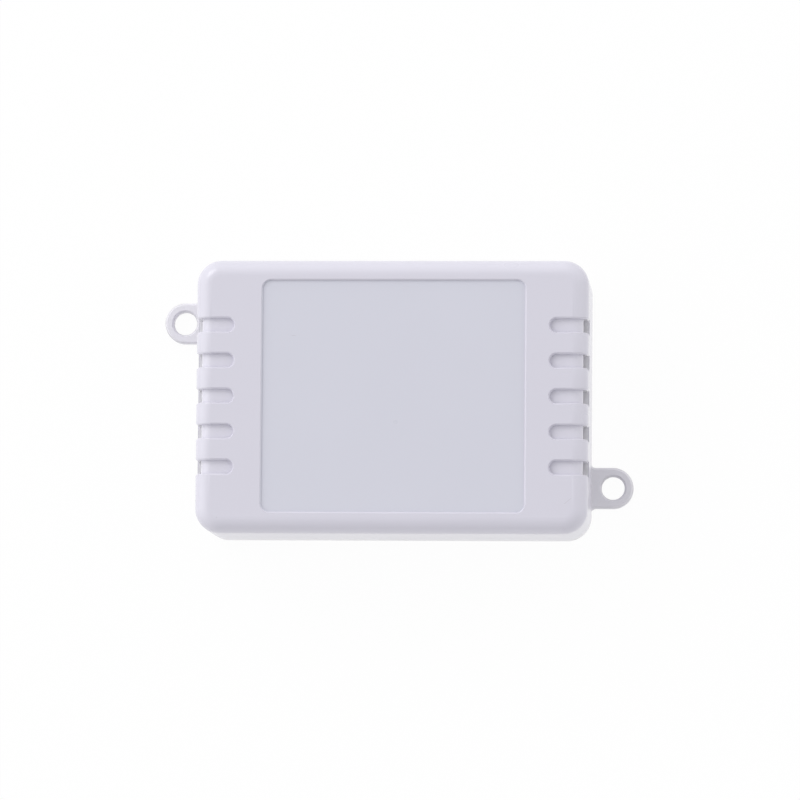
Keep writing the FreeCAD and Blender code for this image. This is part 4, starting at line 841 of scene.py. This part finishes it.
def give_looks():
    slots = {part["node"]: part["material_slot"] for part in frame["record"]["subparts"]}
    for name, node in frame["nodes"].items():
        node.data.materials.clear()
        node.data.materials.append(NODE_LOOKS.get(name) or LOOKS[slots[name]])


def sharp_corners():
    """A modifier group that keeps edges sharp where they turn by more than a bevel does."""
    group = bpy.data.node_groups.new("sharp_corners", "GeometryNodeTree")
    group.interface.new_socket("Mesh", in_out="INPUT", socket_type="NodeSocketGeometry")
    group.interface.new_socket("Mesh", in_out="OUTPUT", socket_type="NodeSocketGeometry")
    given = group.nodes.new("NodeGroupInput")
    out = group.nodes.new("NodeGroupOutput")
    turn = group.nodes.new("GeometryNodeInputMeshEdgeAngle")
    sharp = group.nodes.new("FunctionNodeCompare")
    sharp.operation = "GREATER_THAN"
    sharp.inputs["B"].default_value = SHARP_ANGLE
    shade = group.nodes.new("GeometryNodeSetShadeSmooth")
    shade.domain = "EDGE"
    shade.inputs["Shade Smooth"].default_value = False
    group.links.new(turn.outputs["Unsigned Angle"], sharp.inputs["A"])
    group.links.new(given.outputs[0], shade.inputs["Geometry"])
    group.links.new(sharp.outputs["Result"], shade.inputs["Selection"])
    group.links.new(shade.outputs["Geometry"], out.inputs[0])
    return group


SHARP_CORNERS = sharp_corners()


def soften(name, edge=0.0):
    """Shades bevels as rounded edges: where a bevel meets a broad face it takes that face's normal. edge
    rounds sharp corners off by that much."""
    node = frame["nodes"][name]
    node.modifiers.new("weld", "WELD").merge_threshold = WELD_DISTANCE
    flat = node.modifiers.new("flat_faces", "DECIMATE")
    flat.decimate_type = "DISSOLVE"
    flat.angle_limit = FLAT_ANGLE
    if edge:
        bevel = node.modifiers.new("rounded_edges", "BEVEL")
        bevel.width = edge
        bevel.segments = ROUNDING_SEGMENTS
        bevel.limit_method = "ANGLE"
        bevel.angle_limit = SHARP_ANGLE
    sharp = node.modifiers.new("sharp_corners", "NODES")
    sharp.node_group = SHARP_CORNERS
    weighted = node.modifiers.new("weighted_normals", "WEIGHTED_NORMAL")
    weighted.keep_sharp = True
    weighted.weight = 100


give_looks()
for shell in ("front_cover", "back_base"):
    soften(shell)
for part, edge in EDGES.items():
    soften(part, edge * MM)


# Mesh building.

def to_mesh(name, bm):
    mesh = bpy.data.meshes.new(name)
    bm.to_mesh(mesh)
    bm.free()
    return mesh


def put_in_scene(name, data):
    made = bpy.data.objects.new(name, data)
    bpy.context.scene.collection.objects.link(made)
    return made


def new_piece(name, bm, look, body, stands_for=None, turn=SMOOTH_TURN):
    """Links the mesh as a piece on a body. Edges that turn by more than turn stay sharp."""
    bmesh.ops.recalc_face_normals(bm, faces=bm.faces)
    mesh = to_mesh(name, bm)
    mesh.shade_smooth()
    mesh.set_sharp_from_angle(angle=turn)
    mesh.materials.append(look)
    piece = put_in_scene(name, mesh)
    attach(piece, body)
    if stands_for:
        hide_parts(stands_for)
    return piece


def add_block(bm, low, high, rounding):
    """A block with rounded edges."""
    size = Vector(high) - Vector(low)
    middle = (Vector(high) + Vector(low)) / 2
    made = bmesh.ops.create_cube(bm, size=1.0, matrix=Matrix.Translation(middle) @ Matrix.Diagonal((*size, 1)))
    edges = list({edge for vertex in made["verts"] for edge in vertex.link_edges})
    bmesh.ops.bevel(bm, geom=edges, offset=min(rounding, min(size) * MOST_ROUNDING), segments=ROUNDING_SEGMENTS,
                    affect="EDGES", profile=0.5)


def add_turned(bm, profile, centre, axis, steps):
    """A profile of (distance along the axis, radius) turned about the axis through the centre."""
    across = ALONG_Y if abs(axis.y) < 0.5 else ALONG_X
    vertices = [bm.verts.new(centre + axis * along + across * radius) for along, radius in profile]
    edges = [bm.edges.new(pair) for pair in zip(vertices, vertices[1:])]
    bmesh.ops.spin(bm, geom=vertices + edges, cent=centre, axis=axis, angle=math.tau, steps=steps,
                   use_merge=True, use_duplicate=False)
    bmesh.ops.remove_doubles(bm, verts=bm.verts, dist=WELD_DISTANCE)


def on_board(x, y):
    return Vector((x, y, BOARD_TOP))


def add_disc(bm, place, foot, top, height, steps):
    """A low disc on the board. foot and top are its radii."""
    add_turned(bm, [(0.0, foot), (height, top), (height, 0.0)], place, OUT, steps)


def add_strip(bm, places, width, height):
    """A flat strip along a line of places on the board, with mitred corners."""
    lower = []
    for index, place in enumerate(places):
        before = (place - places[index - 1]).normalized() if index else None
        after = (places[index + 1] - place).normalized() if index + 1 < len(places) else None
        way = ((before or after) + (after or before)).normalized()
        side = Vector((-way.y, way.x))
        stretch = 1 / max(side.dot(Vector((-(before or after).y, (before or after).x))), TRACK_MITRE)
        for sign in (1, -1):
            point = place + side * sign * width / 2 * stretch
            lower.append(bm.verts.new(on_board(point.x, point.y)))
    upper = [bm.verts.new(vertex.co + OUT * height) for vertex in lower]
    for start in range(0, len(lower) - 2, 2):
        a, b, c, d = start, start + 1, start + 3, start + 2
        bm.faces.new((upper[a], upper[b], upper[c], upper[d]))
        bm.faces.new((lower[a], lower[d], upper[d], upper[a]))
        bm.faces.new((lower[b], upper[b], upper[c], lower[c]))
    for end in (0, len(lower) - 2):
        bm.faces.new((lower[end], lower[end + 1], upper[end + 1], upper[end]))


# Battery cells, in a film sleeve folded over the rims of a steel can.

def make_cell(cell, way):
    low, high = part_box(cell)
    length = high.x - low.x
    can = length - CELL_TERMINAL
    radius = (high.z - low.z) / 2
    fold = radius - SLEEVE_FOLD
    terminal = CELL_TERMINAL_RADIUS
    rim = [(CELL_RIM * (1 - math.cos(turn)), radius - CELL_RIM + CELL_RIM * math.sin(turn))
           for turn in CELL_RIM_TURNS]
    profile = [(depth * MM, reach * MM) for depth, reach in CELL_FLAT_END] + [(0.0, fold)] + rim
    profile += [(can - depth, reach) for depth, reach in reversed(rim)] + [(can, fold)]
    profile += [(can - depth * MM, reach * MM) for depth, reach in CELL_SHOULDER]
    profile += [(can, terminal), (length - CELL_TERMINAL_EDGE, terminal),
                (length - CELL_TERMINAL_CHAMFER, terminal - CELL_TERMINAL_CHAMFER),
                (length, terminal - CELL_TERMINAL_EDGE), (length, 0.0)]
    centre = middle_of(cell)
    centre.x = low.x if way > 0 else high.x
    bm = bmesh.new()
    add_turned(bm, profile, centre, ALONG_X * way, CELL_STEPS)
    new_piece(cell + "_sleeved", bm, NODE_LOOKS[cell], cell, cell, CELL_SMOOTH_TURN)


# Capacitor can, crimped above its base, with its flat top a little below the rim.

def make_capacitor_can():
    low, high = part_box("capacitor_can")
    radius = half_size_of("capacitor_can").x
    height = high.z - low.z
    profile = [(0.0, 0.0)] + [(up * MM, radius - inset * MM) for up, inset in CAN_FOOT]
    profile += [(height - CAN_RIM + CAN_RIM * math.sin(turn), radius - CAN_RIM * (1 - math.cos(turn)))
                for turn in CAN_RIM_TURNS]
    profile += [(height - CAN_DISH, radius - CAN_DISH_INSET), (height - CAN_DISH, 0.0)]
    centre = middle_of("capacitor_can")
    centre.z = low.z
    bm = bmesh.new()
    add_turned(bm, profile, centre, OUT, CAN_STEPS)
    new_piece("capacitor_drawn_can", bm, LOOKS["capacitor_aluminium"], "base",
              "capacitor_can")


# What lies on the board: lands and solder, tracks, vias and the printed outlines.

def solids_of(node):
    """Boxes of the separate solids of a group, from the faces that share a place."""
    mesh = frame["nodes"][node].data
    bm = bmesh.new()
    bm.from_mesh(mesh)
    bmesh.ops.remove_doubles(bm, verts=bm.verts, dist=WELD_DISTANCE)
    boxes = []
    waiting = set(bm.verts)
    while waiting:
        heap = [waiting.pop()]
        solid = set(heap)
        while heap:
            for edge in heap.pop().link_edges:
                for vertex in edge.verts:
                    if vertex not in solid:
                        solid.add(vertex)
                        heap.append(vertex)
        waiting -= solid
        places = [vertex.co for vertex in solid]
        boxes.append((Vector(min(place[i] for place in places) for i in range(3)),
                      Vector(max(place[i] for place in places) for i in range(3))))
    bm.free()
    return sorted(boxes, key=lambda box: (round(box[0].x, 5), round(box[0].y, 5)))


def leads_of(node, pitch, count, sides):
    """Place and way out of each lead of a chip. sides are unit steps out of its body."""
    half = half_size_of(node)
    leads = []
    for x, y in sides:
        for index in range(count):
            along = (index - (count - 1) / 2) * pitch
            reach = Vector((x * half.x, y * half.y))
            leads.append((middle_of(node).xy + reach + Vector((abs(y) * along, abs(x) * along)), Vector((x, y))))
    return leads


def add_land(bm, place, way, length, width):
    """A soldered land under the end of a lead."""
    reach = Vector((abs(way.x) * length + abs(way.y) * width, abs(way.y) * length + abs(way.x) * width)) / 2
    add_block(bm, (*(place - reach), BOARD_TOP - LAND_HEIGHT), (*(place + reach), BOARD_TOP + LAND_HEIGHT),
              LAND_ROUNDING)


def make_lands(leads):
    bm = bmesh.new()
    for place, way in leads:
        add_land(bm, place - way * LEAD_LAND_SHIFT, way, *LEAD_LAND)
    for node in CHIP_GROUPS:
        for low, high in solids_of(node):
            size = high - low
            way = ALONG_X.xy if size.x > size.y else ALONG_Y.xy
            middle = ((low + high) / 2).xy
            for sign in (1, -1):
                add_land(bm, middle + way * sign * max(size.x, size.y) / 2, way, *CHIP_LAND)
    for node, (beyond, length, width) in END_LANDS.items():
        reach = half_size_of(node).x + (beyond - length / 2) * MM
        for sign in (1, -1):
            add_land(bm, middle_of(node).xy + ALONG_X.xy * sign * reach, ALONG_X.xy, length * MM, width * MM)
    new_piece("soldered_lands", bm, SOLDER, "base")


def add_terminal(bm, x, sign, y, half_width, reach, levels, rounding):
    """A bit of sheet metal at the side of a part, sign being its way out. reach is how far out it starts
    and ends, and levels are its heights above the board."""
    start, stop = sorted(x + sign * out for out in reach)
    foot, top = levels
    add_block(bm, (start, y - half_width, BOARD_TOP + foot), (stop, y + half_width, BOARD_TOP + top), rounding)


def make_capacitor_tabs():
    """The two flat terminals that come out from under the capacitor's base."""
    low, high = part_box("capacitor_base")
    bm = bmesh.new()
    for x, sign in ((low.x, -1), (high.x, 1)):
        add_terminal(bm, x, sign, (low.y + high.y) / 2, TAB_HALF_WIDTH, TAB_REACH, TAB_LEVELS, TAB_ROUNDING)
    new_piece("capacitor_tabs", bm, TINNED, "base")


def radio_joint(index):
    """Where a joint of the radio module is along x, counted from the left."""
    return middle_of("shield_can").x + (index - (RADIO_JOINTS - 1) / 2) * RADIO_PITCH


def make_radio_joints():
    """Solder in the half holes along both long edges of the radio board, and its lands."""
    low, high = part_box("radio_board")
    profile = [(JOINT_HEIGHT * math.sin(turn), JOINT_RADIUS * math.cos(turn)) for turn in JOINT_TURNS]
    bm = bmesh.new()
    for index in range(RADIO_JOINTS):
        x = radio_joint(index)
        for y, sign in ((low.y, -1), (high.y, 1)):
            add_land(bm, Vector((x, y + sign * JOINT_SHIFT)), ALONG_Y.xy, *JOINT_LAND)
            add_turned(bm, profile, on_board(x, y), OUT, JOINT_STEPS)
    new_piece("radio_joints", bm, SOLDER, "base")


def make_chip_ends():
    """Tinned end caps of the chip capacitors and resistors."""
    proud = CHIP_END_PROUD
    for node, slot in CHIP_GROUPS.items():
        bm = bmesh.new()
        for low, high in solids_of(node):
            size = high - low
            axis = 0 if size.x > size.y else 1
            for end in (0, 1):
                cap_low = low + Vector((-proud, -proud, CHIP_END_LIFT))
                cap_high = high + Vector((proud, proud, proud))
                if end:
                    cap_low[axis] = high[axis] - CHIP_END
                else:
                    cap_high[axis] = low[axis] + CHIP_END
                add_block(bm, cap_low, cap_high, TERMINAL_ROUNDING)
        new_piece(node + "_ends", bm, SOLDER, "base")


def clear_of(place, boxes, margin):
    return all(not (low.x - margin < place.x < high.x + margin and low.y - margin < place.y < high.y + margin)
               for low, high in boxes)


def add_track(tracks, *places):
    add_strip(tracks, [Vector(place) for place in places], TRACK_WIDTH, TRACK_HEIGHT)


def add_via(vias, place):
    """A flat ring on the board, open in the middle."""
    profile = [(0.0, VIA_RADIUS), (LAND_HEIGHT, VIA_RADIUS), (LAND_HEIGHT, VIA_HOLE), (0.0, VIA_HOLE)]
    add_turned(vias, profile, on_board(place.x, place.y), OUT, VIA_STEPS)


def add_fanouts(tracks, vias, leads, dice):
    """A short track from a lead to a via, bent half way, where the board is free."""
    parts = [box for node in CHIP_GROUPS for box in solids_of(node)]
    parts += [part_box(node) for node in ("radio_board", "crystal", "header_housing", "inductor", "status_led")]
    taken = []
    for index, (place, way) in enumerate(leads):
        across = Vector((-way.y, way.x))
        lean = (FANOUT_LEAN + FANOUT_SPREAD * dice.random()) * MM * (1 if index % 4 < 2 else -1)
        knee = place + way * (FANOUT_FIRST + FANOUT_STAGGER * (index % 2))
        bend = knee + way * abs(lean) + across * lean
        stop = bend + way * FANOUT_LAST
        if clear_of(stop, parts, VIA_MARGIN) and all((stop - other).length > VIA_SPACING for other in taken):
            add_track(tracks, place, knee, bend, stop)
            add_via(vias, stop)
            taken.append(stop)


def in_row(row, index):
    first, step = row
    return first + step * index


def add_data_lines(tracks):
    """Five lines from the test points up beside the holder and over to the radio module's lower joints."""
    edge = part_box("radio_board")[0].y
    for index, (x, y) in enumerate(reversed(TEST_COLUMN)):
        lane = x + in_row(DATA_LANE, index)
        level = edge - in_row(DATA_LEVEL, index)
        joint = radio_joint(index)
        add_track(tracks, (x, y), (lane - TRACK_CORNER, y), (lane, y + TRACK_CORNER),
                  (lane, level - TRACK_CORNER), (lane + TRACK_CORNER, level), (joint - TRACK_CORNER, level),
                  (joint, level + TRACK_CORNER), (joint, edge - DATA_STOP))


def add_sensor_lines(tracks, vias):
    """Four lines from the sensor's island up past its slots, and across to vias beside the inductor."""
    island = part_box("filter_cap")[1].y
    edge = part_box("circuit_board")[1].x
    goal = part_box("inductor")[1]
    for index in range(SENSOR_LINES):
        lane = edge - in_row(SENSOR_LANE, index)
        level = goal.y + in_row(SENSOR_LEVEL, index)
        stop = Vector((goal.x + in_row(SENSOR_STOP, index), level))
        add_track(tracks, (lane, island - MM), (lane, level - TRACK_CORNER), (lane - TRACK_CORNER, level), stop)
        add_via(vias, stop)


def make_tracks(leads, dice):
    tracks = bmesh.new()
    vias = bmesh.new()
    add_fanouts(tracks, vias, leads, dice)
    add_data_lines(tracks)
    add_sensor_lines(tracks, vias)
    new_piece("board_tracks", tracks, COPPER_UNDER_MASK, "base")
    new_piece("board_vias", vias, GOLD, "base")


def make_supply_copper():
    """Broad copper under the mask between the supply parts, in the order that the current takes."""
    bm = bmesh.new()
    places = [middle_of(node).xy for node in SUPPLY]
    for start, end in zip(places, places[1:]):
        corner = Vector((end.x, start.y))
        bent = (corner - start).length > MM and (end - corner).length > MM
        add_strip(bm, [start, corner, end] if bent else [start, end], SUPPLY_WIDTH, SUPPLY_HEIGHT)
    new_piece("supply_copper", bm, COPPER_UNDER_MASK, "base")


def outline_strokes(low, high, sides):
    """Lines printed round a part: along its x sides, along its y sides, or short ones at its corners."""
    if sides == "x":
        return [((low.x, y), (high.x, y)) for y in (low.y, high.y)]
    if sides == "y":
        return [((x, low.y), (x, high.y)) for x in (low.x, high.x)]
    strokes = []
    for x, inward in ((low.x, 1), (high.x, -1)):
        for y, up in ((low.y, 1), (high.y, -1)):
            strokes.append(((x - inward * PRINT_WIDTH / 2, y), (x + inward * PRINT_CORNER, y)))
            strokes.append(((x, y), (x, y + up * PRINT_CORNER)))
    return strokes


def make_print():
    """White lines round the parts, and a dot by the first lead of the memory chip and the controller."""
    bm = bmesh.new()
    for node, (margin_x, margin_y, sides) in OUTLINES.items():
        low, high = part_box(node)
        margin = Vector((margin_x * MM, margin_y * MM, 0))
        for start, stop in outline_strokes(low - margin, high + margin, sides):
            add_strip(bm, [Vector(start), Vector(stop)], PRINT_WIDTH, PRINT_HEIGHT)
    for node, x, y in PRINT_DOTS:
        low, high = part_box(node)
        add_disc(bm, on_board(low.x + x, high.y + y), *DOT_RADII, PRINT_HEIGHT, DOT_STEPS)
    new_piece("board_print", bm, BOARD_PRINT, "base")


def make_test_points():
    """Bare gold test points: a column beside the holder, and two by the sensor."""
    bm = bmesh.new()
    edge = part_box("circuit_board")[1].x
    for x, y in TEST_COLUMN + [(edge + x, y) for x, y in TEST_PAIR]:
        add_disc(bm, on_board(x, y), *TEST_RADII, LAND_HEIGHT, TEST_STEPS)
    new_piece("test_points", bm, GOLD, "base")


def make_switch_legs():
    """Four bent legs of the pairing switch."""
    low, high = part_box("switch_housing")
    bm = bmesh.new()
    for x, sign in ((low.x, -1), (high.x, 1)):
        for y in (low.y + LEG_INSET, high.y - LEG_INSET):
            for reach, levels in ((LEG_RISE, LEG_RISE_LEVELS), (LEG_REACH, LEG_LEVELS)):
                add_terminal(bm, x, sign, y, LEG_HALF_WIDTH, reach, levels, TERMINAL_ROUNDING)
    new_piece("switch_legs", bm, TINNED, "base")


def make_snap_leaf():
    """Bowed leaf spring under the plunger."""
    low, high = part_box("switch_spring")
    middle = (low + high) / 2
    reach = half_size_of("switch_spring").x
    rise = high.z - low.z - SPRING_SHEET
    bm = bmesh.new()
    rows = []
    for step in range(SPRING_STEPS + 1):
        along = -reach + 2 * reach * step / SPRING_STEPS
        slope = min(1.0, max(0.0, (reach - SPRING_FOOT - abs(along)) / (reach - SPRING_FOOT - SPRING_CROWN)))
        up = rise * slope * slope * (3 - 2 * slope)
        width = (high.y - low.y) / 2 - SPRING_WAIST * math.cos(math.pi / 2 * along / reach)
        rows.append([bm.verts.new((middle.x + along, middle.y + side * width, low.z + up + sheet))
                     for side, sheet in ((-1, 0.0), (1, 0.0), (1, SPRING_SHEET), (-1, SPRING_SHEET))])
    for row, after in zip(rows, rows[1:]):
        for corner in range(4):
            following = (corner + 1) % 4
            bm.faces.new((row[corner], row[following], after[following], after[corner]))
    bm.faces.new(rows[0])
    bm.faces.new(rows[-1])
    leaf = new_piece("switch_snap_leaf", bm, LOOKS["contact_steel"], "base", "switch_spring")
    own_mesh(leaf)


def add_bead(bm, centre, along, out):
    """Half a long bead: a rod with round ends, pressed flat towards the wall."""
    end = [(BEAD_HALF_LENGTH + BEAD_RADIUS * math.cos(turn), BEAD_RADIUS * math.sin(turn)) for turn in BEAD_TURNS]
    profile = [(-reach, radius) for reach, radius in end] + end[::-1]
    bead = bmesh.new()
    add_turned(bead, profile, Vector((0, 0, 0)), along, BEAD_STEPS)
    bead.transform(Matrix.Translation(centre) @ Matrix.Scale(BEAD_PROUD / BEAD_RADIUS, 4, out))
    mesh = to_mesh("bead", bead)
    bm.from_mesh(mesh)
    bpy.data.meshes.remove(mesh)


def make_snap_beads():
    """Low beads on the base's lip that the cover snaps over, in the gap between the two."""
    lip = half_size_of("front_cover") - Vector((BEAD_INSET, BEAD_INSET, 0))
    bm = bmesh.new()
    for sign in (1, -1):
        for x in BEAD_PLACES:
            add_bead(bm, Vector((x, sign * lip.y, BEAD_LEVEL)), ALONG_X, ALONG_Y)
        add_bead(bm, Vector((sign * lip.x, 0.0, BEAD_LEVEL)), ALONG_Y, ALONG_X)
    new_piece("snap_beads", bm, BASE_PLASTIC_PAINTED_PALER, "base")


dice = random.Random(TRACK_SEED)
all_leads = [lead for chip in LEADED for lead in leads_of(*chip)]
make_cell("cell_1", 1)
make_cell("cell_2", -1)
make_capacitor_can()
make_lands(all_leads)
make_radio_joints()
make_chip_ends()
make_capacitor_tabs()
make_tracks(all_leads, dice)
make_supply_copper()
make_print()
make_test_points()
make_switch_legs()
make_snap_leaf()
make_snap_beads()


# Stage, light and camera.

def make_floor():
    bm = bmesh.new()
    bmesh.ops.create_grid(bm, x_segments=2, y_segments=2, size=FLOOR_SIZE)
    floor = put_in_scene("floor", to_mesh("floor", bm))
    floor.location.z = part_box("back_base")[0].z - FLOOR_DROP
    material, nodes, shader = new_material("floor_look")
    paper = nodes.noise(nodes.object_place(), 900.0, 3.0)
    nodes.link(nodes.mix(paper, *FLOOR_TONES), shader.inputs["Base Color"])
    nodes.set_inputs(shader, Roughness=0.9, Specular_IOR_Level=0.2)
    white = nodes.set_inputs(nodes.add("Emission"), Color=(1, 1, 1, 1))
    mixed = nodes.add("MixShader")
    nodes.link(nodes.maths("MULTIPLY", backdrop_rays(nodes), BACKDROP_WHITE), mixed.inputs[0])
    nodes.link(shader.outputs[0], mixed.inputs[1])
    nodes.link(white.outputs[0], mixed.inputs[2])
    nodes.link(mixed.outputs[0], material.node_tree.nodes["Material Output"].inputs["Surface"])
    floor.data.materials.append(material)


def sky_panel():
    """Light that fades out round a direction. Width is the power of the fall off."""
    group, nodes, given, out = new_group("sky_panel", (
        ("Towards", "Vector", (0, 0, 1)),
        ("Width", "Float", 3.0),
        ("Level", "Float", 1.0)), (("Level", "Float"),))
    direction = nodes.add("TexCoord").outputs["Generated"]
    lean = nodes.measure("DOT_PRODUCT", direction, given["Towards"])
    falling = nodes.maths("POWER", nodes.maths("MAXIMUM", lean, 0.0), given["Width"])
    nodes.link(nodes.maths("MULTIPLY", falling, given["Level"]), out["Level"])
    return group


def backdrop_rays(nodes):
    """1 for the rays that see the white backdrop: the camera's, mirrored ones and those through glass."""
    path = nodes.add("LightPath").outputs
    mirrored = nodes.maths("MAXIMUM", path["Is Glossy Ray"], path["Is Transmission Ray"])
    return nodes.maths("MAXIMUM", path["Is Camera Ray"], mirrored)


def make_sky():
    world = bpy.data.worlds.new("studio")
    bpy.context.scene.world = world
    world.use_nodes = True
    nodes = Nodes(world.node_tree)
    panel = sky_panel()
    glow = SKY_EVEN
    for towards, width, level in SKY_PANELS:
        light = placed(nodes, panel, Towards=Vector(towards).normalized(), Width=float(width), Level=level)
        glow = nodes.maths("ADD", light["Level"], glow)
    seen = nodes.add("LightPath").outputs["Is Camera Ray"]
    nodes.set_inputs(world.node_tree.nodes["Background"], Color=(1, 1, 1, 1), Strength=nodes.blend(seen, glow, 1.0))


def make_key():
    light = bpy.data.lights.new("key", "AREA")
    light.shape = "DISK"
    light.size = KEY_SIZE
    light.energy = KEY_ENERGY
    key = put_in_scene("key", light)
    key.location = KEY_DIRECTION * KEY_DISTANCE
    key.rotation_euler = KEY_DIRECTION.to_track_quat("Z", "Y").to_euler()


def make_camera():
    towards = Vector((math.sin(CAMERA_AZIMUTH), -math.sin(CAMERA_ELEVATION) * math.cos(CAMERA_AZIMUTH),
                      math.cos(CAMERA_ELEVATION) * math.cos(CAMERA_AZIMUTH))).normalized()
    level_right = ALONG_Y.cross(towards).normalized()
    level_up = towards.cross(level_right)
    right = math.cos(CAMERA_ROLL) * level_right + math.sin(CAMERA_ROLL) * level_up
    up = towards.cross(right)
    data = bpy.data.cameras.new("camera")
    data.lens = LENS
    data.sensor_width = SENSOR_WIDTH
    data.clip_start, data.clip_end = CAMERA_CLIP
    camera = put_in_scene("camera", data)
    axes = Matrix((right, up, towards)).transposed()
    place = CAMERA_TARGET + right * TARGET_RIGHT + up * TARGET_UP + towards * CAMERA_DISTANCE
    camera.matrix_world = Matrix.Translation(place) @ axes.to_4x4()
    bpy.context.scene.camera = camera


make_floor()
make_sky()
make_key()
make_camera()
bpy.context.scene.view_settings.view_transform = "Standard"
